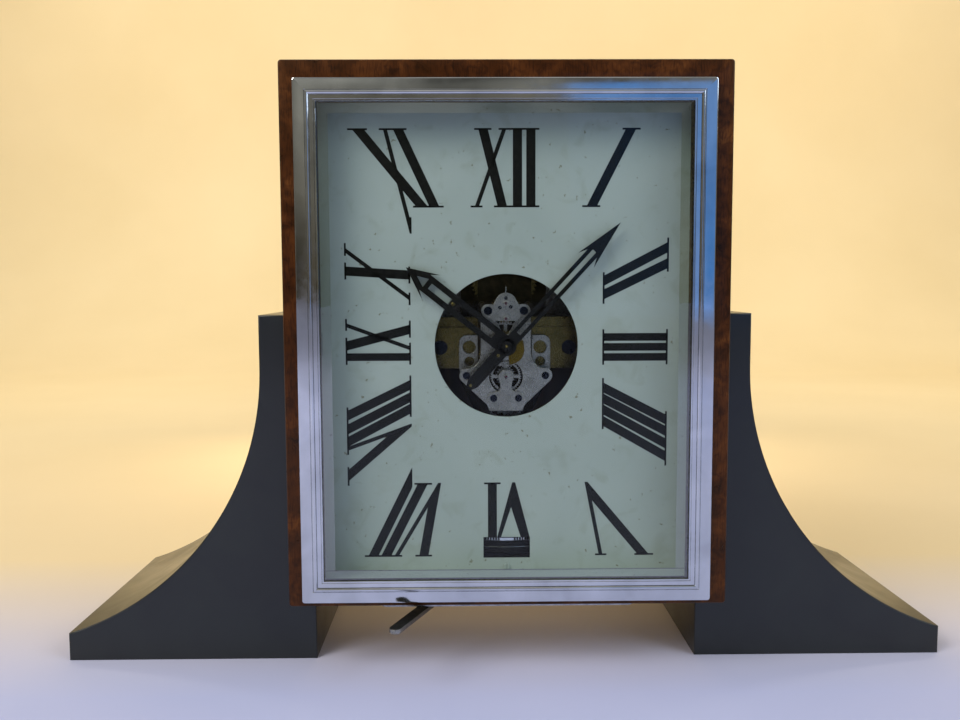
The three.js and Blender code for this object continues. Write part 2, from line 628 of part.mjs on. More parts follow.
// The main plate with its ears and the pillars that are riveted to it and carry the front plate.
function mainPlate() {
  const spine = [[14.5, 61], [14.5, 4.4]];
  const ear = [[22.4, 4.4], [24.8, 1.5], [24.8, -13.5], [23.4, -19.5], [17, -20.5]];
  const tongue = [[16, -26], [7, -36], [7, -49]];
  const outline = symmetric([...spine, ...ear, ...tongue]);
  const riveted = Y.mainPlate[0] + 1; // pillars are sunk this far into the plate
  const upper = { x: BRIDGE_SCREW.x + 3, z: BRIDGE_SCREW.z + 3 };
  const pillars = [
    ...bothSides(LOBE).map((at) => rodY(2.4, Y.frontPlate[1] + GAP, riveted, at, 12)),
    ...bothSides(upper).map((at) => rodY(1.6, Y.bridge[1] + GAP, riveted, at, 12)),
  ];
  const bores = pivots.map(([at, r]) => drill(r + BORE_PLAY, Y.mainPlate, at));
  const ears = bothSides(EAR_HOLE).map((at) => drill(3.2, Y.mainPlate, at, 16));
  return cut(join(plate(outline, Y.mainPlate), ...pillars), ...bores, ...ears);
}

// The back plate, the four pillars riveted to it and the stud that the holding click turns on.
const CLICK_AT = [13.5, AT.barrel[1] - 10];
function backPlate() {
  const outline = symmetric([[24, 60], [24, -24], [12, -49]]);
  const riveted = Y.backPlate[0] + 1;
  const pillars = [{ x: 9.5, z: 57.5 }, { x: 12, z: -23 }].flatMap(bothSides).map((at) =>
    rodY(2.6, Y.mainPlate[1] + GAP, riveted, at, 12),
  );
  const bores = pivots.slice(3).map(([at, r]) => drill(r + BORE_PLAY, Y.backPlate, at));
  const clickStud = rodY(0.8, riveted, Y.ratchet[1] + 0.6, CLICK_AT, 12);
  return cut(join(plate(outline, Y.backPlate), clickStud, ...pillars), ...bores);
}

add(movement, "front_plate", frontPlate(), NICKEL);
add(movement, "upper_bridge", upperBridge(), NICKEL);
add(movement, "lower_cock", lowerCock(), NICKEL);
add(movement, "main_plate", mainPlate(), NICKEL);
add(movement, "back_plate", backPlate(), BRASS);

// ---------------------------------------------------------------- movement support
const ARM = { in: 14, out: COLUMN.x + COLUMN.w, z0: -14, z1: 8.6, rail: 14.2 };
for (const [side, s] of [["left", -1], ["right", 1]]) {
  const span = s > 0 ? [ARM.in, ARM.out] : [-ARM.out, -ARM.in];
  const web = block([span[0], Y.arms[0], ARM.z0], [span[1], Y.arms[1], ARM.z1]);
  const rail = block([span[0], Y.arms[0] + 1, ARM.z1 - 1], [span[1], Y.arms[1], ARM.rail]);
  const screwAt = [s * 35, -2.5];
  add(movement, `frame_arm_${side}`, cut(join(web, rail), drill(2.2, Y.arms, screwAt, 16)), BRASS);
  add(movement, `arm_screw_${side}`, screwY(3.9, 1.4, 1.8, Y.arms[0] - 0.15, 3.5, -1, screwAt), BLUED);
  const [x0, x1] = s > 0 ? [COLUMN.x, COLUMN.x + COLUMN.w] : [-COLUMN.x - COLUMN.w, -COLUMN.x];
  const column = block([x0, COLUMN.y, BASE.z[1] + GAP], [x1, COLUMN.y + COLUMN.d, COLUMN.top]);
  add(clock, `frame_column_${side}`, column, BRASS);
}

function basePlate() {
  const sheet = rectangle(-BASE.w / 2, BASE.y[0], BASE.w / 2, BASE.y[1], 6);
  hole(sheet, 4.5, [0, PENDULUM.y]);
  return slab(sheet, BASE.z, 4);
}
add(clock, "base_plate", basePlate(), BRASS);

// ---------------------------------------------------------------- going train and motion work
const minuteArbor = join(
  rodY(ARBOR_R, MINUTE_HAND.layer[0] - 0.1, Y.mainPlate[1] - 0.2, AT.hub, 16),
  wheelPlate(CANNON, PHASE.cannon, Y.wheels2),
);
add(movement, "minute_arbor", minuteArbor, STEEL);

const centreWheel = join(
  wheelPlate(CENTRE_WHEEL, PHASE.centre, Y.wheels3, 4),
  rodY(2, Y.wheels3[0], Y.wheels4[1], AT.hub, 16),
  wheelPlate(CENTRE_PINION, PHASE.centrePinion, Y.wheels4),
);
const centreBore = drill(ARBOR_R + BORE_PLAY, [Y.wheels3[0], Y.wheels4[1]], AT.hub, 16);
add(movement, "centre_wheel", cut(centreWheel, centreBore), BRASS);

const hourWheel = join(
  rodY(PIPE.rOut, PIPE.front, Y.wheels1[1], AT.hub, 20),
  wheelPlate(HOUR_WHEEL, PHASE.hourWheel, Y.wheels1),
);
const pipeBore = drill(PIPE.rIn, [PIPE.front, Y.wheels1[1]], AT.hub, 16);
add(movement, "hour_wheel", cut(hourWheel, pipeBore), BRASS);

const minuteWheel = join(
  wheelPlate(MINUTE_WHEEL, PHASE.minuteWheel, Y.wheels2),
  wheelPlate(MINUTE_PINION, PHASE.minutePinion, [Y.wheels1[0], Y.wheels2[0] + 0.2]),
  rodY(PIVOT_R, Y.frontPlate[0] + 0.2, Y.wheels2[1] + 0.2, AT.hub, 12),
);
add(movement, "minute_wheel", minuteWheel, BRASS, AT.motion);

const arborFront = Y.bridge[0] + 0.2; // arbors that run in the bridge or the cock
const arborRear = Y.mainPlate[1] - 0.2;
const thirdWheel = join(
  rodY(PIVOT_R, arborFront, arborRear, AT.hub, 12),
  wheelPlate(THIRD_WHEEL, PHASE.thirdWheel, Y.wheels1, 4),
  wheelPlate(THIRD_PINION, PHASE.thirdPinion, Y.wheels3),
);
add(movement, "third_wheel", thirdWheel, NICKEL, AT.third);

function escapeOutline() {
  const points = [];
  for (let i = 0; i < ESCAPE.teeth; i++) {
    const step = 360 / ESCAPE.teeth;
    points.push(polar(ESCAPE.root, i * step));
    points.push(polar(ESCAPE.r, (i + 0.62) * step), polar(ESCAPE.r, (i + 0.72) * step));
  }
  return polygon(points.reverse());
}
const escapeWheel = join(
  rodY(PIVOT_R, Y.frontPlate[0] + 0.2, arborRear, AT.hub, 12),
  wheelPlate(ESCAPE_PINION, PHASE.escapePinion, Y.wheels1),
  plate(escapeOutline(), Y.escape),
);
add(movement, "escape_wheel", escapeWheel, STEEL, AT.escape);

// The anchor below the escape wheel, its arbor and the fork arm behind the back plate.
function palletFork() {
  const clear = ESCAPE.r + 1;
  const span = 48;
  const anchor = new THREE.Shape();
  const centre = ESCAPE.palletDrop;
  const [a0, a1] = [-90 - span, -90 + span].map(THREE.MathUtils.degToRad);
  anchor.absarc(0, centre, clear + 1.6, a0, a1, false);
  anchor.absarc(0, centre, clear, a1, a0, true);
  anchor.closePath();
  const forkY = [PENDULUM.y - 8.5, PENDULUM.y - 6.8];
  const prong = [[1, -12.4], [1, -15], [2.2, -15], [2.2, -12], [1, 0]];
  return join(
    rodY(PIVOT_R, 28.5, forkY[1], AT.hub, 12),
    plate(anchor, Y.escape, 8),
    plate(bar([0, 0], [0, 1.8], 3), Y.escape, 6),
    plate(polygon([...mirrorX(prong), ...prong]), forkY),
  );
}
add(movement, "pallet_fork", palletFork(), STEEL, AT.pallet);

const interWheel = join(
  rodY(PIVOT_R, arborFront, Y.backPlate[1] - 0.2, AT.hub, 12),
  wheelPlate(INTER_WHEEL, PHASE.interWheel, Y.wheels4, 4),
  wheelPlate(INTER_PINION, PHASE.interPinion, [Y.barrelWheel[0] - 0.4, Y.barrelWheel[1] + 0.4]),
);
add(movement, "intermediate_wheel", interWheel, BRASS, AT.inter);

// Saw-toothed ratchet outline.
function ratchetOutline(teeth, rTip, rRoot) {
  const step = 360 / teeth;
  const points = [];
  for (let i = 0; i < teeth; i++) {
    points.push(polar(rRoot, i * step), polar(rTip, i * step + 0.5));
  }
  return polygon(points.reverse());
}
const RATCHET = { teeth: 24, tip: 9, root: 7.8 };
const BARREL_BOX = { r: 15, rear: 53.5 }; // the part that holds the mainspring
const barrel = join(
  rodY(BARREL_ARBOR_R, Y.mainPlate[0] + 0.2, Y.ratchet[1] + 0.6, AT.hub, 16),
  wheelPlate(BARREL_WHEEL, PHASE.barrel, Y.barrelWheel),
  rodY(BARREL_BOX.r, Y.barrelWheel[1] - 0.5, BARREL_BOX.rear, AT.hub, 32),
  plate(ratchetOutline(RATCHET.teeth, RATCHET.tip, RATCHET.root), Y.ratchet),
);
add(movement, "barrel", barrel, BRASS, AT.barrel);

// The holding click on the back plate, clear of the ratchet wheel by a hair.
function clickLever(reach) {
  const body = bar([0, 0], [-reach, 4.6], 2.6);
  const eye = plate(disc(2.4), Y.ratchet, 8);
  return cut(join(plate(body, Y.ratchet, 6), eye), drill(0.95, Y.ratchet, AT.hub));
}
add(movement, "click", clickLever(3.2), STEEL, CLICK_AT);

// ---------------------------------------------------------------- winding drum
const drumZ = CENTRE_Z + AT.barrel[1];
const [drumFront, drumRear] = DRUM.y;
const sleeveR = DRUM.axle + 0.25;

function windingDrum() {
  const [sleeveFront, sleeveRear] = DRUM.sleeveY;
  const shell = turned([
    [sleeveR, sleeveFront],
    [DRUM.sleeve, sleeveFront],
    [DRUM.sleeve, drumFront],
    [DRUM.r, drumFront],
    [DRUM.r, drumRear],
    [DRUM.r - DRUM.wall, drumRear],
    [DRUM.r - DRUM.wall, drumFront + DRUM.wall],
    [sleeveR + 4, drumFront + DRUM.wall],
    [sleeveR + 4, sleeveRear],
    [sleeveR, sleeveRear],
    [sleeveR, sleeveFront],
  ], AT.hub, 28);
  const flange = tubeY(sleeveR, DRUM.flange, ...DRUM.flangeY, AT.hub, 24);
  return cut(join(shell, flange), drill(1, DRUM.flangeY, [0, PAWL_R]));
}
add(movement, "winding_drum", windingDrum(), NICKEL, AT.barrel);
const coverFront = drumRear + GAP;
const drumCover = tubeY(sleeveR, DRUM.r, coverFront, coverFront + 1.6, AT.hub, 28);
add(movement, "drum_cover", drumCover, NICKEL, AT.barrel);

const TUBE_R = 7.8;
const expansionTube = new THREE.TorusGeometry(DRUM.r - DRUM.wall - TUBE_R - 1, TUBE_R, 8, 20);
expansionTube.rotateX(Math.PI / 2).translate(0, (drumFront + drumRear) / 2, 0);
add(movement, "expansion_tube", expansionTube, CRYSTAL, AT.barrel);

// The driving pawl, hung from the drum's flange behind the ratchet wheel's rim.
const pawl = join(
  plate(bar([0, 0], [3.8, -0.4], 2), Y.ratchet, 6),
  rodY(0.75, Y.ratchet[0], DRUM.flangeY[1] - 0.6, AT.hub, 12),
);
add(movement, "drum_pawl", pawl, STEEL, [AT.barrel[0], AT.barrel[1] + PAWL_R]);

// The yoke that carries the drum on a fixed axle, between the two columns.
function drumYoke() {
  const rear = drumRear + 4;
  const [xIn, xOut] = [COLUMN.x - GAP - 4.3, COLUMN.x - GAP];
  const [z0, z1] = [drumZ - 6, drumZ + 6];
  const arms = [[xIn, xOut], [-xOut, -xIn]].map(([x0, x1]) => block([x0, COLUMN.y, z0], [x1, rear + 4, z1]));
  const back = block([-xOut, rear, z0], [xOut, rear + 4, z1]);
  const axle = rodY(DRUM.axle, DRUM.flangeY[0] + 0.4, rear + 1, [0, drumZ], 20);
  return join(...arms, back, axle);
}
add(clock, "drum_yoke", drumYoke(), BRASS);

// ---------------------------------------------------------------- torsion pendulum
const axisXY = [0, PENDULUM.y];
const [ringLow, ringHigh] = PENDULUM.z;
function pendulumRing() {
  const { y, r, rin, hub, spoke } = PENDULUM;
  const section = [[rin, ringLow], [r, ringLow], [r, ringHigh], [rin, ringHigh], [rin, ringLow]];
  const ring = turnedZ(section, axisXY, 40);
  const half = rin + 2;
  const [z0, z1] = [ringLow + 3, ringHigh - 3];
  const crossX = block([-half, y - spoke / 2, z0], [half, y + spoke / 2, z1]);
  const crossY = block([-spoke / 2, y - half, z0], [spoke / 2, y + half, z1]);
  const boss = rodZ(hub, ringLow, ringHigh, axisXY, 20);
  const bore = rodZ(PENDULUM.rod + GAP, ringLow + 2, ringHigh + 1, axisXY, 16);
  return cut(join(ring, crossX, crossY, boss), bore);
}
add(clock, "pendulum_ring", pendulumRing(), BRASS);

// Rod with its chuck on top and the roller that meets the fork.
const rollerZ = CENTRE_Z + AT.pallet[1] - ROLLER.drop;
const chuckTop = PENDULUM.rodTop + 3;
const pendulumRod = join(
  rodZ(PENDULUM.rod, ringLow + 2 + GAP, PENDULUM.rodTop, axisXY, 16),
  rodZ(CHUCK.r, chuckTop - CHUCK.h, chuckTop, axisXY, 16),
  rodZ(ROLLER.r, rollerZ - ROLLER.h / 2, rollerZ + ROLLER.h / 2, axisXY, 20),
);
add(clock, "pendulum_rod", pendulumRod, BRASS);
const wire = rodZ(WIRE.r, chuckTop + GAP, WIRE.top - GAP, axisXY, 8);
add(clock, "suspension_wire", wire, STEEL);

// Bracket on the back plate that holds the top end of the wire.
const suspension = join(
  block([-7, Y.backPlate[1] + GAP, WIRE.top], [7, PENDULUM.y + 6, WIRE.top + 5]),
  block([-7, Y.backPlate[1] + GAP, WIRE.top - 14], [7, Y.backPlate[1] + 2.6, WIRE.top + 5]),
);
add(clock, "suspension_bracket", suspension, BRASS);

// ---------------------------------------------------------------- pendulum lock under the case
function lockLever() {
  const [z0, z1] = LEVER.z;
  const arm = slab(bar(LEVER.pivot, LEVER.tip, LEVER.w), LEVER.z, 8);
  const tail = slab(bar(LEVER.pivot, axisXY, LEVER.w + 1), LEVER.z, 8);
  const eye = slab(disc(LEVER.eye, LEVER.pivot), LEVER.z, 12);
  return cut(join(arm, tail, eye), rodZ(LEVER.stud + GAP, z0 - 1, z1 + 1, LEVER.pivot, 20));
}
add(clock, "lock_lever", lockLever(), NICKEL);

const [studLow, studHigh] = STUD.z;
const studProfile = [
  [0, studLow],
  [STUD.headR, studLow],
  [STUD.headR, STUD.headTop],
  [LEVER.stud, STUD.headTop],
  [LEVER.stud, studHigh],
  [0, studHigh],
];
add(clock, "lever_stud", turnedZ(studProfile, LEVER.pivot, 16), STEEL);

function underPlate() {
  const sheet = rectangle(-UNDER_PLATE.w / 2, UNDER_PLATE.y[0], UNDER_PLATE.w / 2, UNDER_PLATE.y[1], 4);
  hole(sheet, LEVER.stud + GAP, LEVER.pivot);
  hole(sheet, 3.4, axisXY);
  return slab(sheet, UNDER_PLATE.z, 4);
}
add(clock, "under_plate", underPlate(), STEEL);

const [plungerLow, plungerHigh] = PLUNGER.z;
const plungerProfile = [
  [0, plungerLow],
  [PLUNGER.r, plungerLow],
  [PLUNGER.r, PLUNGER.headZ],
  [PLUNGER.headR, PLUNGER.headZ],
  [PLUNGER.headR, plungerHigh],
  [0, plungerHigh],
];
add(clock, "lock_plunger", turnedZ(plungerProfile, axisXY, 16), STEEL);

export default part;
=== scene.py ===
"""Mantel clock: a walnut case between two black brackets, a glazed chrome door and a skeleton movement.

Metres, +X to the viewer's right, +Y away from the viewer, +Z up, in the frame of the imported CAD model.
Outlines are drawn in millimetres, as seen from the front. They start from the hand arbor, unless they
name another origin.
"""
import json
from math import atan2, cos, degrees, hypot, pi, radians, sin

import bmesh
import bpy
from mathutils import Matrix, Vector

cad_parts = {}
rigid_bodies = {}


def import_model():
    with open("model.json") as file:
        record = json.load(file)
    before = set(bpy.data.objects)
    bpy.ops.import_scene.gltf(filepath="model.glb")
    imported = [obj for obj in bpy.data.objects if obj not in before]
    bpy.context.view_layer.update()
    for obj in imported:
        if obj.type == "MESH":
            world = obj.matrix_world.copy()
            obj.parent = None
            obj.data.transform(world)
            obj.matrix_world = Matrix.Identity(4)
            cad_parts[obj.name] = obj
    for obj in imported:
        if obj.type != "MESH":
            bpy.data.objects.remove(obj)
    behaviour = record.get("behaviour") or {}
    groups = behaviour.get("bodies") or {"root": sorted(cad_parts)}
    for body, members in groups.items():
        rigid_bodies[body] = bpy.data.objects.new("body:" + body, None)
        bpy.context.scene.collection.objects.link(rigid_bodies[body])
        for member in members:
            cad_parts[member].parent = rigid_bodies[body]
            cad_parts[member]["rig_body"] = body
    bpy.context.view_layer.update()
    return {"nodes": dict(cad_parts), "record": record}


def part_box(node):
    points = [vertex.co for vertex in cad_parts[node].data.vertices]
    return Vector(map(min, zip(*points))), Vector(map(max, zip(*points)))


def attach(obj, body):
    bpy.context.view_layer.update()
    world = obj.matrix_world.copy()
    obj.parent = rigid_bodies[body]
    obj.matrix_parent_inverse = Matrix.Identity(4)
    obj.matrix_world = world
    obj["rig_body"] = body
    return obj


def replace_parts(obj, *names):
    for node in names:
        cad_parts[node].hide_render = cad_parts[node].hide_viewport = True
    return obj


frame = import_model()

MM = 0.001
SHARP = 35  # degrees; an edge that turns by more than this stays sharp
ORIGIN = Vector((0, 0, 0))
SIDES = {"left": -1, "right": 1}
NODES = frame["nodes"]


def middle(node):
    """The middle of a node's box."""
    low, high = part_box(node)
    return (low + high) / 2


def layer(node):
    """Front and back of a node, in y."""
    low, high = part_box(node)
    return low.y, high.y


def new_object(name, data):
    made = bpy.data.objects.new(name, data)
    bpy.context.scene.collection.objects.link(made)
    return made


HUB = middle("hand_nut")


def from_hub(at):
    """The place of an (x, z) point in mm from the hub, as deep as the hub."""
    return HUB + Vector((at[0] * MM, 0, at[1] * MM))


THIRD = (middle("third_wheel") - HUB) / MM
INTER = (middle("intermediate_wheel") - HUB) / MM


# ---------------- materials
def set_stops(ramp, stops):
    """Gives a colour ramp its stops, which are (position, colour) pairs."""
    elements = ramp.color_ramp.elements
    while len(elements) < len(stops):
        elements.new(0.5)
    for element, (position, color) in zip(elements, stops):
        element.position = position
        element.color = (*color, 1)


class Shader:
    """A node material being built round one Principled surface."""

    def __init__(self, name, **values):
        self.material = bpy.data.materials.new(name)
        self.material.use_nodes = True
        self.tree = self.material.node_tree
        self.surface = self.tree.nodes["Principled BSDF"]
        self.output = self.tree.nodes["Material Output"]
        self.place = self.add("ShaderNodeTexCoord").outputs["Object"]
        for socket, value in values.items():
            self.surface.inputs[socket.replace("_", " ")].default_value = value

    def add(self, kind, values=None, **settings):
        node = self.tree.nodes.new(kind)
        for key, value in settings.items():
            setattr(node, key, value)
        for socket, value in (values or {}).items():
            node.inputs[socket].default_value = value
        return node

    def link(self, output, target):
        self.tree.links.new(output, target)

    def stretched(self, scale):
        node = self.add("ShaderNodeMapping", {"Scale": scale})
        self.link(self.place, node.inputs["Vector"])
        return node.outputs["Vector"]

    def noise(self, scale, detail, distortion=0, vector=None):
        values = {"Scale": scale, "Detail": detail, "Distortion": distortion}
        node = self.add("ShaderNodeTexNoise", values)
        self.link(vector or self.place, node.inputs["Vector"])
        return node.outputs["Fac"]

    def ramp(self, factor, stops):
        node = self.add("ShaderNodeValToRGB")
        set_stops(node, stops)
        self.link(factor, node.inputs["Fac"])
        return node.outputs["Color"]

    def level(self, factor, low, high):
        """Maps a noise to a number between low and high."""
        values = {"From Min": 0.3, "From Max": 0.7, "To Min": low, "To Max": high}
        node = self.add("ShaderNodeMapRange", values)
        self.link(factor, node.inputs["Value"])
        return node.outputs["Result"]

    def blended(self, factor, first, second, kind="MIX"):
        """Mixes two colours; sockets 6, 7 and 2 are the colour ones of the mix node."""
        node = self.add("ShaderNodeMix", data_type="RGBA", blend_type=kind)
        if isinstance(factor, float):
            node.inputs[0].default_value = factor
        else:
            self.link(factor, node.inputs[0])
        self.link(first, node.inputs[6])
        self.link(second, node.inputs[7])
        return node.outputs[2]

    def color(self, output):
        self.link(output, self.surface.inputs["Base Color"])

    def rough(self, output):
        self.link(output, self.surface.inputs["Roughness"])

    def bump(self, height, strength, depth):
        node = self.add("ShaderNodeBump", {"Strength": strength, "Distance": depth})
        self.link(height, node.inputs["Height"])
        self.link(node.outputs["Normal"], self.surface.inputs["Normal"])


def walnut():
    s = Shader(
        "walnut", Coat_Weight=0.1, Coat_Roughness=0.06,
        Specular_IOR_Level=0.3, Specular_Tint=(1, 0.7, 0.42, 1),
    )
    swirl = s.noise(26, 7, 2.6)
    figure = s.ramp(swirl, [
        (0.28, (0.026, 0.007, 0.0012)),
        (0.46, (0.052, 0.013, 0.0022)),
        (0.60, (0.088, 0.024, 0.004)),
        (0.78, (0.15, 0.047, 0.008)),
    ])
    eyes = s.ramp(s.noise(150, 4, 1.5), [(0.34, (0.35, 0.25, 0.2)), (0.52, (1, 1, 1))])
    pores = s.noise(1500, 2, 0, s.stretched((1, 1, 0.12)))
    fine = s.ramp(pores, [(0.36, (0.5, 0.42, 0.38)), (0.5, (1, 1, 1))])
    veneer = s.blended(1.0, s.blended(0.75, figure, eyes, "MULTIPLY"), fine, "MULTIPLY")
    s.color(veneer)
    s.rough(s.level(swirl, 0.26, 0.4))
    s.bump(pores, 0.12, 0.0002)
    return s.material


def stained_wood():
    s = Shader("stained_wood")
    grain = s.noise(60, 6, 1.2, s.stretched((1, 1, 0.09)))
    s.color(s.ramp(grain, [
        (0.3, (0.06, 0.026, 0.011)),
        (0.55, (0.13, 0.062, 0.026)),
        (0.75, (0.2, 0.1, 0.045)),
    ]))
    s.rough(s.level(grain, 0.45, 0.65))
    s.bump(s.noise(700, 3, 0, s.stretched((1, 1, 0.06))), 0.25, 0.0003)
    return s.material


def black_lacquer():
    s = Shader("black_lacquer", Coat_Weight=0.35, Coat_Roughness=0.1, Specular_IOR_Level=0.4)
    haze = s.noise(30, 5, 0.6)
    s.color(s.ramp(haze, [(0.3, (0.007, 0.0085, 0.0085)), (0.7, (0.012, 0.015, 0.0145))]))
    s.rough(s.level(haze, 0.28, 0.42))
    s.bump(s.noise(420, 3), 0.05, 0.0003)
    return s.material


def black_paint():
    s = Shader("black_paint", Specular_IOR_Level=0.15)
    wear = s.noise(500, 4)
    s.color(s.ramp(wear, [(0.35, (0.003, 0.003, 0.0025)), (0.75, (0.009, 0.009, 0.007))]))
    s.rough(s.level(wear, 0.3, 0.5))
    s.bump(wear, 0.1, 0.00005)
    return s.material


def polished(name, dark, light, smooth=0.05, dull=0.12):
    """Plated metal with faint cloudiness and hairline scratches."""
    s = Shader(name, Metallic=1.0)
    cloud = s.noise(45, 5, 0.5)
    s.color(s.ramp(cloud, [(0.3, dark), (0.65, light)]))
    s.rough(s.level(s.noise(160, 5), smooth, dull))
    s.bump(s.noise(900, 2, 0, s.stretched((1, 1, 0.05))), 0.03, 0.00005)
    return s.material


def grained(name, dark, light, smooth=0.22, dull=0.38):
    """Fine-grained satin metal."""
    s = Shader(name, Metallic=1.0)
    s.color(s.ramp(s.noise(220, 5, 0.4), [(0.3, dark), (0.65, light)]))
    brushing = s.noise(3200, 2, 0, s.stretched((1, 1, 0.3)))
    s.rough(s.level(brushing, smooth, dull))
    s.bump(brushing, 0.03, 0.00002)
    return s.material


def silvered():
    """Silvered dial: matt, a little cloudy, with small age spots."""
    s = Shader("silvered_dial", Specular_IOR_Level=0.35)
    cloud = s.noise(12, 6, 0.8)
    ground = s.ramp(cloud, [(0.3, (0.4, 0.46, 0.42)), (0.7, (0.47, 0.53, 0.485))])
    spots = s.ramp(s.noise(340, 2), [(0.24, (0.55, 0.48, 0.36)), (0.3, (1, 1, 1))])
    smudges = s.ramp(s.noise(70, 4, 1.0), [(0.3, (0.9, 0.89, 0.85)), (0.45, (1, 1, 1))])
    s.color(s.blended(1.0, s.blended(1.0, ground, spots, "MULTIPLY"), smudges, "MULTIPLY"))
    s.rough(s.level(s.noise(900, 3), 0.42, 0.58))
    s.bump(s.noise(2200, 2), 0.06, 0.00004)
    return s.material


def jewel():
    s = Shader("ruby", Roughness=0.08, Coat_Weight=1.0)
    s.color(s.ramp(s.noise(900, 2), [(0.3, (0.03, 0.004, 0.006)), (0.7, (0.08, 0.01, 0.014))]))
    return s.material


def clear_glass(name, tint, low, high):
    """Plate glass: a faint tint, with a reflection that grows from low face on to high edge on."""
    s = Shader(name)
    s.tree.nodes.remove(s.surface)
    through = s.add("ShaderNodeBsdfTransparent")
    lighter = tuple(c * 1.01 for c in tint)
    s.link(s.ramp(s.noise(9, 2), [(0.3, tint), (0.7, lighter)]), through.inputs["Color"])
    shine = s.add("ShaderNodeBsdfAnisotropic", {"Roughness": 0.015})
    facing = s.add("ShaderNodeLayerWeight", {"Blend": 0.15})
    gloss = s.add("ShaderNodeMapRange", {"From Max": 0.6, "To Min": low, "To Max": high})
    s.link(facing.outputs["Facing"], gloss.inputs["Value"])
    both = s.add("ShaderNodeMixShader")
    s.link(gloss.outputs["Result"], both.inputs["Fac"])
    s.link(through.outputs["BSDF"], both.inputs[1])
    s.link(shine.outputs["BSDF"], both.inputs[2])
    s.link(both.outputs["Shader"], s.output.inputs["Surface"])
    return s.material


WALNUT = walnut()
STAINED = stained_wood()
LACQUER = black_lacquer()
PAINT = black_paint()
CHROME = polished("chrome", (0.54, 0.56, 0.58), (0.7, 0.72, 0.74))
NICKEL = grained("nickel", (0.27, 0.262, 0.225), (0.36, 0.35, 0.305))
GILT = grained("gilt_brass", (0.1, 0.078, 0.024), (0.155, 0.12, 0.04))
# Very dark brass: painted shade for the plates that lie deep behind the movement.
SHADED_BRASS = grained("brass_painted_shade", (0.02, 0.016, 0.008), (0.045, 0.035, 0.016), 0.4, 0.55)
STEEL = grained("steel", (0.28, 0.29, 0.3), (0.48, 0.49, 0.5), 0.18, 0.3)
BLUED = polished("blued_steel", (0.006, 0.009, 0.014), (0.016, 0.022, 0.034), 0.16, 0.3)
SILVERED = silvered()
RUBY = jewel()
AMBER = grained("amber_brass", (0.11, 0.07, 0.008), (0.16, 0.105, 0.013))
PANE = clear_glass("pane", (0.965, 0.985, 0.975), 0.008, 0.4)
# The bevel's darker tint is painted shade, standing in for the light that the real bevel bends away.
BEVEL = clear_glass("bevelled_edge", (0.72, 0.8, 0.74), 0.2, 0.6)
RING_GILT = grained("pendulum_gilt", (0.2, 0.13, 0.05), (0.4, 0.28, 0.11))

FINISHES = {
    "walnut": WALNUT,
    "panel": STAINED,
    "lacquer": LACQUER,
    "chrome": CHROME,
    "glass": PANE,
    "dial": SILVERED,
    "hand_black": PAINT,
    "nickel": NICKEL,
    "brass": GILT,
    "blued": BLUED,
    "steel": STEEL,
}
SLOTS = {part["node"]: part["material_slot"] for part in frame["record"]["subparts"]}


# ---------------- making pieces
def smooth(mesh, angle=SHARP):
    mesh.shade_smooth()
    mesh.set_sharp_from_angle(angle=radians(angle))


def piece(name, mesh, body, slot, *materials):
    """A named object that rides on a CAD body and takes its finish from a material slot."""
    made = new_object(name, mesh)
    for material in materials or (FINISHES[slot],):
        mesh.materials.append(material)
    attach(made, body)
    return made


def rounded(made, width):
    """Rounds the edges of a piece and keeps its flat faces flat."""
    edge = made.modifiers.new("edges", "BEVEL")
    edge.width = width
    edge.segments = 2
    edge.limit_method = "ANGLE"
    edge.angle_limit = radians(SHARP)
    made.modifiers.new("normals", "WEIGHTED_NORMAL").keep_sharp = True


def merged(*meshes):
    """One mesh from several, which are used up."""
    whole = bmesh.new()
    for mesh in meshes:
        whole.from_mesh(mesh)
        bpy.data.meshes.remove(mesh)
    mesh = bpy.data.meshes.new("merged")
    whole.to_mesh(mesh)
    whole.free()
    return mesh


def cut_sheet(outlines, depth, edge, origin=HUB, turn=0):
    """A sheet cut to closed outlines of (x, z) points in mm round an origin, with rounded edges.

    Inner outlines are holes. Depth is the sheet's front and back in y, edge is the radius of the rounding
    and turn is a clock angle in degrees.
    """
    front, back = depth
    curve = bpy.data.curves.new("outline", "CURVE")
    curve.dimensions = "2D"
    curve.fill_mode = "BOTH"
    curve.extrude = (back - front) / 2 - edge * MM
    curve.bevel_depth = edge * MM
    curve.bevel_resolution = 2
    curve.offset = -edge * MM
    for outline in map(distinct, outlines):
        spline = curve.splines.new("POLY")
        spline.points.add(len(outline) - 1)
        for point, (x, z) in zip(spline.points, outline):
            point.co = (x * MM, z * MM, 0, 1)
        spline.use_cyclic_u = True
    holder = bpy.data.objects.new("outline", curve)
    mesh = bpy.data.meshes.new_from_object(holder)
    bpy.data.objects.remove(holder)
    bpy.data.curves.remove(curve)
    stand = Matrix.Rotation(radians(90), 4, "X")
    swing = Matrix.Rotation(radians(turn), 4, "Y")
    place = Matrix.Translation((origin.x, (front + back) / 2, origin.z))
    mesh.transform(place @ swing @ stand)
    smooth(mesh)
    for face in mesh.polygons:
        face.use_smooth = abs(face.normal.y) < 0.99
    return mesh


def distinct(outline):
    """The outline without points that fall on the one before."""
    before = outline[-1:] + outline[:-1]
    return [p for p, q in zip(outline, before) if hypot(p[0] - q[0], p[1] - q[1]) > 0.001]


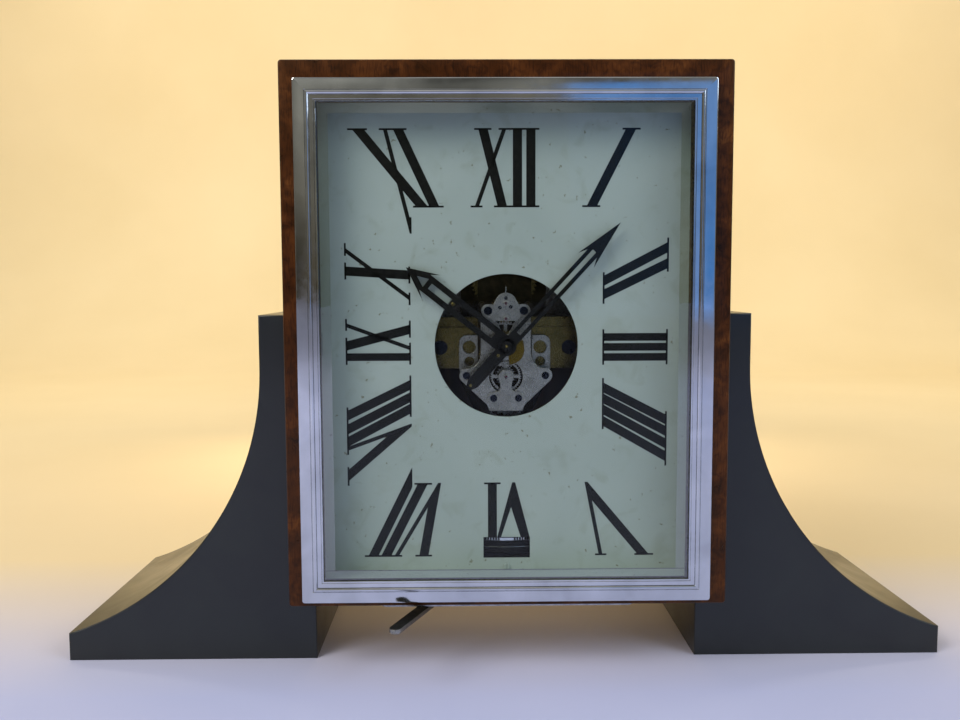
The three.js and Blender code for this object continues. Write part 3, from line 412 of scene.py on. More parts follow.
def loops_mesh(loops, closed=False, material_of=None, sharp=SHARP):
    """A skin over loops that all have the same number of points; open ends are capped.

    Material_of lists the material index of each strip; the caps have index 0.
    """
    shell = bmesh.new()
    rows = [[shell.verts.new(p) for p in loop] for loop in loops]
    following = rows[1:] + rows[:1] if closed else rows[1:]
    for i, (a, b) in enumerate(zip(rows, following)):
        for k in range(len(a)):
            n = (k + 1) % len(a)
            face = shell.faces.new((a[k], a[n], b[n], b[k]))
            face.material_index = material_of[i] if material_of else 0
    if not closed:
        shell.faces.new(rows[0][::-1])
        shell.faces.new(rows[-1])
    bmesh.ops.remove_doubles(shell, verts=shell.verts, dist=1e-7)
    bmesh.ops.recalc_face_normals(shell, faces=shell.faces)
    mesh = bpy.data.meshes.new("loops")
    shell.to_mesh(mesh)
    shell.free()
    smooth(mesh, sharp)
    return mesh


def turned(profile, centre, axis="Y", segments=64, rib=None):
    """A solid of revolution; the profile is (radius in mm, place along the axis in m) pairs.

    A profile that starts off the axis makes a ring. Rib is a function of the step and the profile's
    radius that scales the radius there.
    """
    loops = []
    for r, along in profile:
        loop = []
        for i in range(segments):
            a = 2 * pi * i / segments
            radius = max(r, 1e-5) * MM * (rib(i, r) if rib else 1)
            u, v = radius * cos(a), radius * sin(a)
            if axis == "Y":
                loop.append((centre.x + u, along, centre.z + v))
            else:
                loop.append((centre.x + u, centre.y + v, along))
        loops.append(loop)
    return loops_mesh(loops, closed=profile[0][0] > 0)


def rounded_rectangle(low, high, inset, corner, y):
    """One loop of a mitred frame: a rectangle moved in by an inset, which its corners shrink by."""
    steps = 6
    x0, x1 = low.x + inset * MM, high.x - inset * MM
    z0, z1 = low.z + inset * MM, high.z - inset * MM
    r = max(corner - inset, 0.001) * MM
    corners = ((x1 - r, z1 - r), (x0 + r, z1 - r), (x0 + r, z0 + r), (x1 - r, z0 + r))
    loop = []
    for quarter, (cx, cz) in enumerate(corners):
        for i in range(steps + 1):
            a = radians(90 * quarter + 90 * i / steps)
            loop.append((cx + r * cos(a), y, cz + r * sin(a)))
    return loop


def circle(r, at=(0, 0), points=48):
    angles = [2 * pi * i / points for i in range(points)]
    return [(at[0] + r * cos(a), at[1] + r * sin(a)) for a in angles]


def arc(at, r, start, end, points):
    """Points on an arc; angles in degrees, anticlockwise from +X."""
    angles = [radians(start + (end - start) * i / points) for i in range(points + 1)]
    return [(at[0] + r * cos(a), at[1] + r * sin(a)) for a in angles]


def rectangle(x0, z0, x1, z1):
    return [(x0, z0), (x1, z0), (x1, z1), (x0, z1)]


def symmetric(right):
    """A closed outline from its right half."""
    return right + [(-x, z) for x, z in reversed(right)]


def bezier(a, b, c, points=12):
    """Points on a curve from a to c that leaves a and reaches c in the direction of b."""
    curve = []
    for i in range(points + 1):
        t = i / points
        s = 1 - t
        curve.append(tuple(p * s ** 2 + 2 * q * t * s + r * t * t for p, q, r in zip(a, b, c)))
    return curve


def softened(node, width, material=None, slot=None):
    """A CAD node's own shape with its edges rounded."""
    source = NODES[node]
    shape = bmesh.new()
    shape.from_mesh(source.data)
    bmesh.ops.remove_doubles(shape, verts=shape.verts, dist=1e-6)
    bmesh.ops.dissolve_limit(shape, angle_limit=radians(1), verts=shape.verts, edges=shape.edges)
    mesh = bpy.data.meshes.new(node)
    shape.to_mesh(mesh)
    shape.free()
    smooth(mesh)
    slot = slot or SLOTS[node]
    made = piece(f"{node}.fine", mesh, source["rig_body"], slot, material or FINISHES[slot])
    rounded(made, width * MM)
    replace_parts(made, node)


def bored(made, cutters):
    """Cuts meshes out of a piece."""
    tools = []
    for cutter in cutters:
        tool = new_object("cutter", cutter)
        made.modifiers.new("bore", "BOOLEAN").object = tool
        tools.append(tool)
    shape = made.evaluated_get(bpy.context.evaluated_depsgraph_get())
    made.data = bpy.data.meshes.new_from_object(shape)
    made.modifiers.clear()
    for tool in tools:
        bpy.data.objects.remove(tool)


def screw(name, at, r, front, thickness, turn, material=BLUED):
    """A slotted screw head that faces the front: two half heads over a solid disc."""
    half_slot = 0.16 * r
    reach = 90 - degrees(atan2(half_slot, r))
    arcs = [arc(at, r, way - reach, way + reach, 24) for way in (90, 270)]
    halves = [[spun(p, at, turn) for p in outline] for outline in arcs]
    top = cut_sheet(halves, (front, front + thickness * 0.55), r * 0.08)
    base = cut_sheet([circle(r, at)], (front + thickness * 0.5, front + thickness), r * 0.04)
    return piece(name, merged(top, base), "case", "blued", material)


def screw_pair(name, at, r, front, thickness, turns):
    """Two screws on the movement that mirror each other's places."""
    for (hand, way), turn in zip(SIDES.items(), turns):
        screw(f"{name}_{hand}", (way * at[0], at[1]), r, front, thickness, turn)


def cad_screw(node, r, thickness, turn, material=BLUED):
    """A slotted head in the place of a CAD screw."""
    at = (middle(node) - HUB) / MM
    head = screw(f"{node}.fine", (at.x, at.z), r, layer(node)[0], thickness, turn, material)
    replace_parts(head, node)


def spun(point, at, angle):
    """A point turned about another by an angle in degrees."""
    a = radians(angle)
    x, z = point[0] - at[0], point[1] - at[1]
    return at[0] + x * cos(a) - z * sin(a), at[1] + x * sin(a) + z * cos(a)


def jewel_setting(name, at, r, front):
    """A ruby in a nickel ring."""
    centre = from_hub(at)
    foot = front + 0.5 * MM
    ring = [(r * 0.62, foot), (r, foot), (r, front + 0.1 * MM), (r * 0.9, front), (r * 0.7, front)]
    piece(f"{name}_setting", turned(ring, centre, segments=40), "case", "nickel")
    dome = [(0, foot), (r * 0.62, foot), (r * 0.6, front + 0.3 * MM), (r * 0.3, front + 0.1 * MM)]
    dome.append((0, front + 0.08 * MM))
    piece(name, turned(dome, centre, segments=32), "case", "nickel", RUBY)


# ---------------- case and brackets
CASE_WALL = 14


def case():
    """The walnut case, open in front and at the back, with two bores in its floor for the lock."""
    low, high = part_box("case_shell")
    wall, edge, corner = CASE_WALL, 0.9, 1.6
    front, back = low.y, high.y
    steps = [radians(90 * i / 4) for i in range(5)]
    outer = [(edge * (1 - cos(a)), front + edge * MM * (1 - sin(a))) for a in steps]
    inner = [(wall - edge * (1 - sin(a)), front + edge * MM * (1 - cos(a))) for a in steps]
    profile = [(0, back), *outer, *inner, (wall, back)]
    loops = [rounded_rectangle(low, high, inset, corner, y) for inset, y in profile]
    shell = piece("case", loops_mesh(loops, closed=True), "case", "walnut")
    z0, z1 = low.z - 0.01, low.z + 0.02
    bores = ((middle("lock_plunger"), 4.5), (middle("lever_stud"), 2.6))
    bored(shell, [turned([(0, z0), (r, z0), (r, z1), (0, z1)], centre, "Z", 32) for centre, r in bores])
    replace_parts(shell, "case_shell")


def bracket(name, side):
    """One black bracket: a foot along the table that sweeps up the flank of the case."""
    low, high = (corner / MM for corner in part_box(name))
    case_low, case_high = (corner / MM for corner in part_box("case_shell"))
    tip = max(abs(low.x), abs(high.x))
    foot_in = min(abs(low.x), abs(high.x))
    flank, tip_h, r = 130.5, 15, 150
    centre_x = flank + r
    centre_z = tip_h + (r * r - (centre_x - tip) ** 2) ** 0.5
    start = degrees(atan2(tip_h - centre_z, tip - centre_x))
    sweep = arc((centre_x, centre_z), r, start, -180, 60)
    wall = case_high.x + 0.3
    under_case = case_low.z - 0.3
    outline = [(foot_in, 0), (tip, 0), *sweep, (flank, high.z), (wall, high.z)]
    outline += [(wall, under_case), (foot_in, under_case)]
    outline = [(side * x, z) for x, z in outline]
    mesh = cut_sheet([outline], (low.y * MM, high.y * MM), 0.7, ORIGIN)
    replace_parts(piece(f"{name}.fine", mesh, "case", "lacquer"), name)


# ---------------- door
def hinge_notches(back):
    """The room for the hinges: a round bore about each pin, open at the back and at the side."""
    shapes = []
    for where in ("upper", "lower"):
        pin = middle(f"hinge_pin_{where}")
        low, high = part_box(f"hinge_{where}")
        z0, z1 = low.z - 0.3 * MM, high.z + 0.3 * MM
        r = (pin.x - low.x) / MM + 0.3
        shapes.append(turned([(0, z0), (r, z0), (r, z1), (0, z1)], pin, "Z", 32))
        x0, x1 = pin.x - 0.9 * MM, pin.x + 4 * MM
        y0, y1 = pin.y - 0.9 * MM, back + 1 * MM
        corners = ((x0, y0), (x1, y0), (x1, y1), (x0, y1))
        shapes.append(loops_mesh([[(x, y, z) for x, y in corners] for z in (z0, z1)]))
    return shapes


def bezel():
    """The door's chrome frame: a flat band, a round bead, a slope and a lip that covers the glass."""
    low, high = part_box("door_frame")
    back = high.y
    proud = 0.6 * MM
    face = low.y + proud
    turns = [radians(20 * i) for i in range(1, 9)]
    bead = [(7.1 - 0.85 * cos(a), face - proud * sin(a)) for a in turns]
    profile = [
        (0, back), (0, face + 0.7 * MM), (0.25, face + 0.2 * MM), (0.8, face), (5.7, face),
        (6.0, face + 0.35 * MM), (6.25, face + 0.35 * MM), *bead,
        (8.0, face + 0.4 * MM), (8.3, face + 0.1 * MM), (10.2, face + 0.2 * MM),
        (10.45, face + 0.5 * MM), (10.6, face + 0.3 * MM), (11.2, face + 0.35 * MM),
        (11.35, face + 0.55 * MM), (11.35, face + 1.1 * MM), (9, face + 1.1 * MM), (9, back),
    ]
    loops = [rounded_rectangle(low, high, inset, 1.5, y) for inset, y in profile]
    frame_piece = piece("bezel", loops_mesh(loops, closed=True, sharp=25), "door", "chrome")
    bored(frame_piece, hinge_notches(back))
    frame_piece.modifiers.new("normals", "WEIGHTED_NORMAL").keep_sharp = True
    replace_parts(frame_piece, "door_frame")


def knuckles():
    """The door's round knuckles about the hinge pins."""
    r, half, ease = 1.5, 3.2 * MM, 0.2 * MM
    for where in ("upper", "lower"):
        pin = middle(f"hinge_pin_{where}")
        z0, z1 = pin.z - half, pin.z + half
        profile = [(0, z0), (r - 0.15, z0), (r, z0 + ease), (r, z1 - ease), (r - 0.15, z1), (0, z1)]
        piece(f"knuckle_{where}", turned(profile, pin, "Z", 32), "door", "chrome")


def glass():
    """The pane: a clear field and a bevel, which takes a glossier material with a darker tint that paints
    shade.
    """
    low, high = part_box("door_glass")
    bevel, rise = 8, 1.5 * MM
    profile = [
        (0, high.y), (0, low.y + rise), (0.15, low.y + rise - 0.1 * MM),
        (bevel - 0.2, low.y + 0.03 * MM), (bevel, low.y), (bevel + 2, low.y),
    ]
    loops = [rounded_rectangle(low, high, inset, 0.6, y) for inset, y in profile]
    mesh = loops_mesh(loops, material_of=[1, 1, 1, 1, 0], sharp=4)
    pane = piece("glass", mesh, "door", "glass", PANE, BEVEL)
    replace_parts(pane, "door_glass")


# ---------------- dial
THICK, THIN, EVEN = 4.7, 2.0, 4.0  # widths of strokes
SERIF = 0.95  # height of a serif
SERIF_REACH = 2.0  # how far it stands out on each side of its stroke
APEX = 0.8  # half the width of a V at its apex
CENTRING = -1.2  # moves the numerals above and below the hub to the middle of the dial
# The outer and inner edges of the four bands of numerals, from the hub.
OUTER = {"top": 110.9, "bottom": -111.2, "right": 83.8, "left": -83.2}
INNER = {"top": 71.0, "bottom": -71.8, "right": 49.8, "left": -49.4}
HORIZONTAL, VERTICAL = (1, 0), (0, 1)


def stroke(a, b, width, along_a, along_b):
    """A straight stroke between two points whose ends are cut along two edge directions."""
    dx, dz = b[0] - a[0], b[1] - a[1]
    size = hypot(dx, dz)
    normal = (-dz / size, dx / size)
    corners = []
    for (x, z), (ex, ez), order in ((a, along_a, (-1, 1)), (b, along_b, (1, -1))):
        reach = width / 2 / (ex * normal[0] + ez * normal[1])
        corners += [(x + k * reach * ex, z + k * reach * ez) for k in order]
    return corners


def serif(at, along, half, inward):
    """The thin bar across the end of a stroke; inward is the side of the edge that it lies on."""
    (x, z), (ex, ez) = at, along
    reach = half + SERIF_REACH
    nx, nz = inward
    ends = [(x - ex * reach, z - ez * reach), (x + ex * reach, z + ez * reach)]
    return [*ends, *[(px + nx * SERIF, pz + nz * SERIF) for px, pz in reversed(ends)]]


def half_cut(a, b, width, along):
    """Half the length of edge that the end of a stroke takes up."""
    dx, dz = b[0] - a[0], b[1] - a[1]
    size = hypot(dx, dz)
    return abs(width / 2 / (along[0] * dz / size - along[1] * dx / size))


def directions(side):
    """A band's edge direction, and the way from its outer edge to its inner one."""
    inward = -1 if side in ("top", "right") else 1
    if side in ("top", "bottom"):
        return HORIZONTAL, (0, inward)
    return VERTICAL, (inward, 0)


def on_band(side, u, t):
    """The point at u along a band and t of the way across it, from 0 outside to 1 inside."""
    v = OUTER[side] + t * (INNER[side] - OUTER[side])
    return (u, v) if side in ("top", "bottom") else (v, u)


def band(side, strokes):
    """Strokes of one numeral: (place on the outer edge, place on the inner edge, width)."""
    along, inward = directions(side)
    outward = (-inward[0], -inward[1])
    outlines = []
    for outer, inner, width in strokes:
        a, b = on_band(side, outer, 0), on_band(side, inner, 1)
        half = half_cut(a, b, width, along)
        outlines.append(stroke(a, b, width, along, along))
        outlines.append(serif(a, along, half, inward))
        outlines.append(serif(b, along, half, outward))
    return outlines


def vee(side, thin, thick, apex, ends=True):
    """The V of a numeral: a thin and a thick stroke from the outer edge that meet in a narrow apex.

    Ends says whether the strokes have serifs.
    """
    along, inward = directions(side)
    way = 1 if thick > thin else -1
    tip = on_band(side, apex, 1)
    thin_end, thick_end = on_band(side, thin, 0), on_band(side, thick, 0)
    half_thin = half_cut(thin_end, tip, THIN, along)
    half_thick = half_cut(thick_end, tip, THICK, along)
    thin_out, thin_in = thin - way * half_thin, thin + way * half_thin
    thick_in, thick_out = thick - way * half_thick, thick + way * half_thick
    thin_run = apex - way * APEX - thin_out
    thick_run = apex + way * APEX - thick_out
    meet = (thick_in - thin_in) / (thin_run - thick_run)
    places = (
        (thin_out, 0), (thin_in, 0), (thin_in + meet * thin_run, meet),
        (thick_in, 0), (thick_out, 0), (apex + way * APEX, 1), (apex - way * APEX, 1),
    )
    outlines = [[on_band(side, u, t) for u, t in places]]
    if ends:
        outlines.append(serif(thin_end, along, half_thin, inward))
        outlines.append(serif(thick_end, along, half_thick, inward))
    return outlines


def centred(strokes):
    """Strokes above or below the hub, moved to the middle of the dial."""
    return [(outer + CENTRING, inner + CENTRING, width) for outer, inner, width in strokes]


def centred_vee(thin, thick, apex, ends=True):
    """A V of the bottom band, moved in the same way."""
    return vee("bottom", thin + CENTRING, thick + CENTRING, apex + CENTRING, ends)


def corner_stroke(side, outer, z, width, half, way):
    """The stroke of XI or VII that ends on the left band's inner edge; way is its serif's side in x."""
    start, end = (outer + CENTRING, OUTER[side]), (INNER["left"], z)
    return [
        stroke(start, end, width, HORIZONTAL, VERTICAL),
        serif(start, HORIZONTAL, width / 2, directions(side)[1]),
        serif(end, VERTICAL, half, (way, 0)),
    ]


def numeral_outlines():
    """The outlines of XII, I, XI and then II to X, clockwise."""
    twelve = [(-10.6, -0.65, THICK), (0.46, -13.95, THIN), (7.0, 7.0, THICK), (13.85, 13.85, THICK)]
    two = [(50.75, 33.1, THICK), (42.55, 26.1, THICK)]
    three = [(z, z, EVEN) for z in (4.3, -0.85, -6.1)]
    four = [(-39.3, -21.7, THICK), (-45.4, -27.4, THICK), (-52.0, -33.2, THICK), (-58.7, -39.2, THICK)]
    eight = [(-36.3, -19.8, THICK), (-43.5, -26.2, THICK), (-50.1, -32.2, THICK)]
    nine = [(-5.5, -5.5, EVEN), (0.16, 8.9, THICK), (11.2, -1.2, THIN)]
    ten = [(38.9, 36.7, THICK), (49.9, 24.5, THIN)]
    return [
        *band("top", centred(twelve)),
        *band("top", centred([(65.15, 44.8, THICK)])),
        *band("top", centred([(-74.4, -41.4, THICK), (-53.9, -35.3, THICK)])),
        *corner_stroke("top", -60.4, 62, THIN, 2.2, 1),
        *band("right", two),
        *band("right", three),
        *band("right", four),
        *centred_vee(50.9, 73.7, 42.9),
        *band("bottom", centred([(-6.3, -6.3, THICK)])),
        *centred_vee(-2.8, 10.9, 4.9, ends=False),
        *band("bottom", centred([(-62.6, -42.5, THICK)])),
        *centred_vee(-57.1, -42.6, -33.9),
        *corner_stroke("bottom", -69.3, -68.7, THICK, 2.0, -1),
        *band("left", eight),
        *vee("left", -53.6, -68.1, -41.1),
        *band("left", nine),
        *band("left", ten),
    ]


def dial():
    """The silvered sheet with an aperture and a slot at VI, the sill, the numerals and two screws."""
    low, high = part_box("dial_plate")
    flat_low, flat_high = (low - HUB) / MM, (high - HUB) / MM
    slot_half, slot_bottom, slot_top = 12.25, -112.35, -101.05
    aperture = 37.1
    sheet = [
        rectangle(flat_low.x, flat_low.z, flat_high.x, flat_high.z),
        circle(aperture, points=160),
        rectangle(-slot_half, slot_bottom, slot_half, slot_top),
    ]
    plate_piece = piece("dial", cut_sheet(sheet, (low.y, high.y), 0.15), "case", "dial")
    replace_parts(plate_piece, "dial_plate")
    case_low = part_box("case_shell")[0]
    floor_z = (case_low.z - HUB.z) / MM + CASE_WALL
    sill = rectangle(flat_low.x + 0.5, floor_z, flat_high.x - 0.5, floor_z + 0.3)
    sill_mesh = cut_sheet([sill], (case_low.y + 0.5 * MM, low.y - 0.1 * MM), 0.08)
    piece("dial_sill", sill_mesh, "case", "dial")
    paint = (low.y - 0.06 * MM, low.y + 0.02 * MM)
    clear = [above_slot(outline, slot_half + 0.5, slot_top) for outline in numeral_outlines()]
    strokes = [cut_sheet([outline], paint, 0.03) for outline in clear if area(outline) > 0.2]
    piece("numerals", merged(*strokes), "case", "hand_black")
    cad_screw("dial_screw_top", 2.3, 1 * MM, 25)
    cad_screw("dial_screw_bottom", 1.5, 1 * MM, 80, SILVERED)


def above_slot(outline, half, top):
    """The outline with every point that falls in the slot moved up to its edge."""
    return [(x, max(z, top) if abs(x) < half else z) for x, z in outline]


def area(outline):
    """The area of an outline, near nothing for one that lay wholly in the slot."""
    pairs = zip(outline, outline[1:] + outline[:1])
    return abs(sum(x0 * z1 - x1 * z0 for (x0, z0), (x1, z1) in pairs)) / 2


# ---------------- hands
HOUR_ANGLE, MINUTE_ANGLE = -51.7, 42.7


def arrow(half, neck, barb, tip, foot):
    """A hand's outline: its foot, two straight sides, a pair of barbs and a point."""
    notch = 2.2
    right = [(half, neck + notch), (barb, neck - notch)]
    return foot + right + [(0, tip)] + [(-x, z) for x, z in reversed(right)]


def hour_hand():
    """The hour hand: a blade with two slots, a bar and an arrow's eye, on a round hub."""
    front, back = layer("hour_hand")
    half, slot, neck, bar = 4.8, 1.65, 51, 35
    outline = arrow(half, neck, 7.95, 65.5, [(-half, 0), (half, 0)])
    holes = [
        rectangle(-slot, 8.7, slot, bar - 1.6),
        rectangle(-slot, bar + 1.6, slot, neck - 1),
        [(-2.6, neck + 1.6), (2.6, neck + 1.6), (0, neck + 7.4)],
        circle(2.4, points=32),
    ]
    blade = cut_sheet([outline, *holes], (front, back), 0.12, turn=HOUR_ANGLE)
    hub = cut_sheet([circle(5.2), circle(2.5, points=32)], (front, back), 0.12, turn=HOUR_ANGLE)
    hour = piece("hour_hand.fine", merged(blade, hub), "hours", "hand_black")
    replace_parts(hour, "hour_hand")
    stud_on_hand("hour_hand_rivet", (0, bar), HOUR_ANGLE, front, "hours", 0.95)


def minute_hand():
    """The minute hand: a blade with one long slot and a tail."""
    front, back = layer("minute_hand")
    half, slot, neck, tail = 3.2, 1.15, 62, 29
    foot = [(-half, -tail + half), (-half / 2, -tail), (half / 2, -tail), (half, -tail + half)]
    outline = arrow(half, neck, 5.45, 85.5, foot)
    bore = circle(1.5, points=32)
    openings = [rectangle(-slot, 8.9, slot, neck + 4), bore]
    blade = cut_sheet([outline, *openings], (front, back), 0.1, turn=MINUTE_ANGLE)
    hub = cut_sheet([circle(4.4), bore], (front, back), 0.1, turn=MINUTE_ANGLE)
    minute = piece("minute_hand.fine", merged(blade, hub), "minutes", "hand_black")
    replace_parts(minute, "minute_hand")
    stud_on_hand("minute_hand_rivet", (0, -6.4), MINUTE_ANGLE, front, "minutes", 0.9)
    stud_on_hand("arbor_end", (0, 0), 0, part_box("hand_nut")[0].y + 0.1 * MM, "minutes", 0.75)
    stud_on_hand("minute_hand_weight", (0, -tail + 1.6), MINUTE_ANGLE, front, "minutes", 0.8)


def hand_nut():
    """The black nut on the hub: a plain boss on a knurled flange."""
    front, back = layer("hand_nut")
    cap = [
        (0, front), (1.1, front), (1.5, front + 0.15 * MM), (1.7, front + 0.8 * MM),
        (2.6, front + 0.95 * MM), (2.8, front + 1.2 * MM), (2.8, back), (0, back),
    ]

    def knurl(step, r):
        return 0.95 if step % 2 and r > 2.3 else 1

    nut = piece("hand_nut.fine", turned(cap, HUB, segments=72, rib=knurl), "minutes", "brass", PAINT)
    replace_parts(nut, "hand_nut")


def stud_on_hand(name, at, turn, front, body, r):
    """A small brass dome at a place on a hand that points at a clock angle."""
    a = radians(turn)
    x, z = at[0] * cos(a) + at[1] * sin(a), at[1] * cos(a) - at[0] * sin(a)
    dome = [
        (0, front - 0.35 * MM), (r * 0.55, front - 0.3 * MM), (r * 0.9, front - 0.12 * MM),
        (r, front + 0.1 * MM), (0, front + 0.1 * MM),
    ]
    centre = from_hub((x, z))
    piece(name, turned(dome, centre, segments=24), body, "brass")


# ---------------- movement
def shield_plate():
    """The front plate, with its round window and two screws."""
    lobe, bar_half, bar_top = (20.8, -16.2), 13.2, 15.5
    right = [
        *arc((bar_half - 1, bar_top - 1), 1, 90, 0, 4),
        (bar_half, -4),
        *bezier((bar_half, -4), (bar_half + 0.5, -12), (lobe[0], lobe[1] + 3.8)),
        *arc(lobe, 3.8, 90, -52, 14),
        (10.2, -31.5),
        *arc((8.2, -34), 1, 20, -90, 5),
    ]
    window = circle(8.85, (0, THIRD.z), 96)
    sight = [(-5.4, 13.2), (5.4, 13.2), (1.2, 5.6), (-1.2, 5.6)]
    plate_piece = piece(
        "shield_plate",
        cut_sheet([symmetric(right), window, sight, circle(2.6)], layer("front_plate"), 0.14),
        "case", "nickel",
    )
    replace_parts(plate_piece, "front_plate")
    front = layer("front_plate")[0]
    screw_pair("shield_screw", lobe, 2, front - 0.5 * MM, 0.7 * MM, (-40, 40))


def trefoil_bridge():
    """The upper bridge with its screws, jewels and pin."""
    front, back = layer("upper_bridge")
    right = [
        *arc((0, 21.8), 5.6, 90, 18, 14),
        (6.6, 21.2),
        *arc((9.35, 18), 3.5, 100, -60, 14),
        *bezier((10.6, 14.8), (8, 13.2), (4.6, 12.6), 5),
    ]
    sheet = cut_sheet([symmetric(right)], (front, back), 0.16)
    bridge_piece = piece("trefoil_bridge", sheet, "case", "nickel")
    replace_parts(bridge_piece, "upper_bridge")
    screw_pair("bridge_screw", (9.35, 18), 2.2, front - 0.55 * MM, 0.75 * MM, (-55, 75))
    jewel_setting("bridge_jewel", (0, INTER.z), 1.5, front - 0.25 * MM)
    jewel_setting("crown_jewel", (0, 21.8), 1.5, front - 0.25 * MM)
    for i, at in enumerate(((0, 24.6), (-3.2, 19.6), (2.5, 20))):
        screw(f"crown_screw_{i + 1}", at, 0.95, front - 0.2 * MM, 0.4 * MM, 30 * i)
    z = HUB.z
    profile = [(0, z + 27 * MM), (0.35, z + 27 * MM), (0.3, z + 30 * MM), (0, z + 31.5 * MM)]
    pin = turned(profile, Vector((HUB.x, (front + back) / 2, 0)), "Z", 16)
    piece("bridge_pin", pin, "case", "steel")


def lower_cock():
    """The cock of the third wheel."""
    front, back = layer("lower_cock")
    boss_z, foot = THIRD.z, (6.55, -28.0)
    right = [
        *arc((0, boss_z), 4, 90, -36, 14),
        (3.0, -21.5),
        *bezier((3.0, -22.5), (3.2, -24.8), (foot[0], foot[1] + 3.2), 6),
        *arc(foot, 3.2, 80, -110, 16),
        *bezier((4.4, -30.6), (2.6, -29.6), (0, -29.5), 5),
    ]
    sheet = cut_sheet([symmetric(right)], (front, back), 0.16)
    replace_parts(piece("cock", sheet, "case", "nickel"), "lower_cock")
    screw_pair("cock_screw", foot, 1.9, front - 0.5 * MM, 0.7 * MM, (35, -35))
    jewel_setting("cock_jewel", (0, boss_z), 1.6, front - 0.25 * MM)


def leaf_spring():
    """The amber leaf beside the hub, on the face of the shield plate."""
    front = layer("front_plate")[0]
    a, b = (8.9, 2.6), (1.9, -10.6)
    outline = bezier(a, (12.2, -8.5), b, 14) + bezier(b, (-0.6, 0.6), a, 14)[1:-1]
    sheet = cut_sheet([outline], (front - 0.45 * MM, front + 0.02 * MM), 0.15)
    piece("leaf_spring", sheet, "case", "brass", AMBER)


def pillar(at, r, start, end):
    """A pillar from just behind one plate into the next."""
    start += 0.3 * MM
    centre = from_hub(at)
    end += 1 * MM
    rod = [(0, start), (r - 0.2, start), (r, start + 0.2 * MM), (r, end), (0, end)]
    return turned(rod, centre, segments=28)


def main_plate():
    """The main plate: a spine in very dark brass, which paints the shade behind the movement, with the
    bridge's pillars; bright ears with the front plate's.
    """
    thickness = 2 * MM
    back = layer("main_plate")[1]
    front = back - thickness
    depth = (front, back)
    spine = [(14.5, 61), (14.5, -19), (17, -20.5), (16, -26), (7, -36), (7, -49)]
    bridge_pillars = [pillar((x, 21), 1.6, layer("upper_bridge")[1], front) for x in (-12.35, 12.35)]
    spine_mesh = merged(cut_sheet([symmetric(spine)], depth, 0.2), *bridge_pillars)
    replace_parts(piece("spine", spine_mesh, "case", "brass", SHADED_BRASS), "main_plate")
    right = [
        (14.6, 4.4), (14.6, -19.2), (17, -20.4), (23.4, -19.5), (24.8, -13.5),
        *arc((20.4, 0.0), 4.4, 0, 90, 12),
    ]
    openings = [circle(3.5, (19.2, -2.2), 40), circle(2.6, (19.2, -10), 32)]
    meshes = []
    for side in SIDES.values():
        mirrored = [[(side * x, z) for x, z in outline] for outline in (right, *openings)]
        meshes.append(cut_sheet(mirrored, depth, 0.2))
        meshes.append(pillar((side * 20.8, -16.2), 2.4, layer("front_plate")[1], front))
    piece("ears", merged(*meshes), "case", "nickel")


def arms():
    """The gilt side arms with their big screws."""
    for side, turn in (("left", 30), ("right", -50)):
        softened(f"frame_arm_{side}", 0.35)
        cad_screw(f"arm_screw_{side}", 3.9, 1.4 * MM, turn)


# ---------------- pendulum and lock
def pendulum():
    """The rim with a grooved band in black paint as painted shade, a bright line in the groove as a
    painted highlight and a comb of teeth above it, black between the teeth as painted shade.
    """
    low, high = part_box("pendulum_ring")
    centre = (low + high) / 2
    r, r_in = (high.x - low.x) / 2 / MM, 44
    side = r - 0.1
    groove = r - 0.7
    z0, z1 = low.z, high.z
    comb = z1 - 1.7 * MM
    count, per_tooth, highlight_half = 240, 4, 3.5

    def teeth(step, radius):
        """Cuts back two of each tooth's four steps, except in the plain stretch at the front, which
        paints the highlight there.
        """
        from_front = abs((step / (per_tooth * count) - 0.75) * 2 * pi * r)
        cut = step % per_tooth in (0, 1) and radius > r - 0.5 and from_front > highlight_half
        return 0.975 if cut else 1

    below = comb - 0.1 * MM
    plain = [
        (r_in, z0), (r - 0.5, z0), (side, z0 + 0.5 * MM), (side, z0 + 3.4 * MM),
        (groove, z0 + 3.6 * MM), (groove, z0 + 4.0 * MM), (side, z0 + 4.2 * MM),
        (side, below), (r_in, below),
    ]
    body = turned(plain, centre, "Z", 180)
    top = [(r_in, comb), (r, comb), (r, z1 - 0.2 * MM), (r - 0.4, z1), (r_in, z1)]
    crown = turned(top, centre, "Z", per_tooth * count, teeth)
    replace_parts(spokes(centre, r_in + 1, (z0, z1)), "pendulum_ring")
    # The rim's black paint is painted shade, for the dark seen through the slot at VI.
    rim = piece("pendulum_rim", body, "pendulum", "brass", PAINT)
    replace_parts(rim, "pendulum_ring")
    piece("pendulum_comb", crown, "pendulum", "brass", CHROME, PAINT)
    # The faces between and behind the teeth take black paint as painted shade.
    for face in crown.polygons:
        if hypot(face.center.x - centre.x, face.center.y - centre.y) < (r - 0.3) * MM:
            face.material_index = 1
    # The chrome line in the groove is a painted highlight, for the light that the groove catches.
    line_z, half = z0 + 3.8 * MM, 0.14 * MM
    line = [(r - 0.75, line_z - half), (r - 0.05, line_z - half), (r, line_z)]
    line += [(r - 0.05, line_z + half), (r - 0.75, line_z + half)]
    piece("pendulum_line", turned(line, centre, "Z", 180), "pendulum", "brass", CHROME)


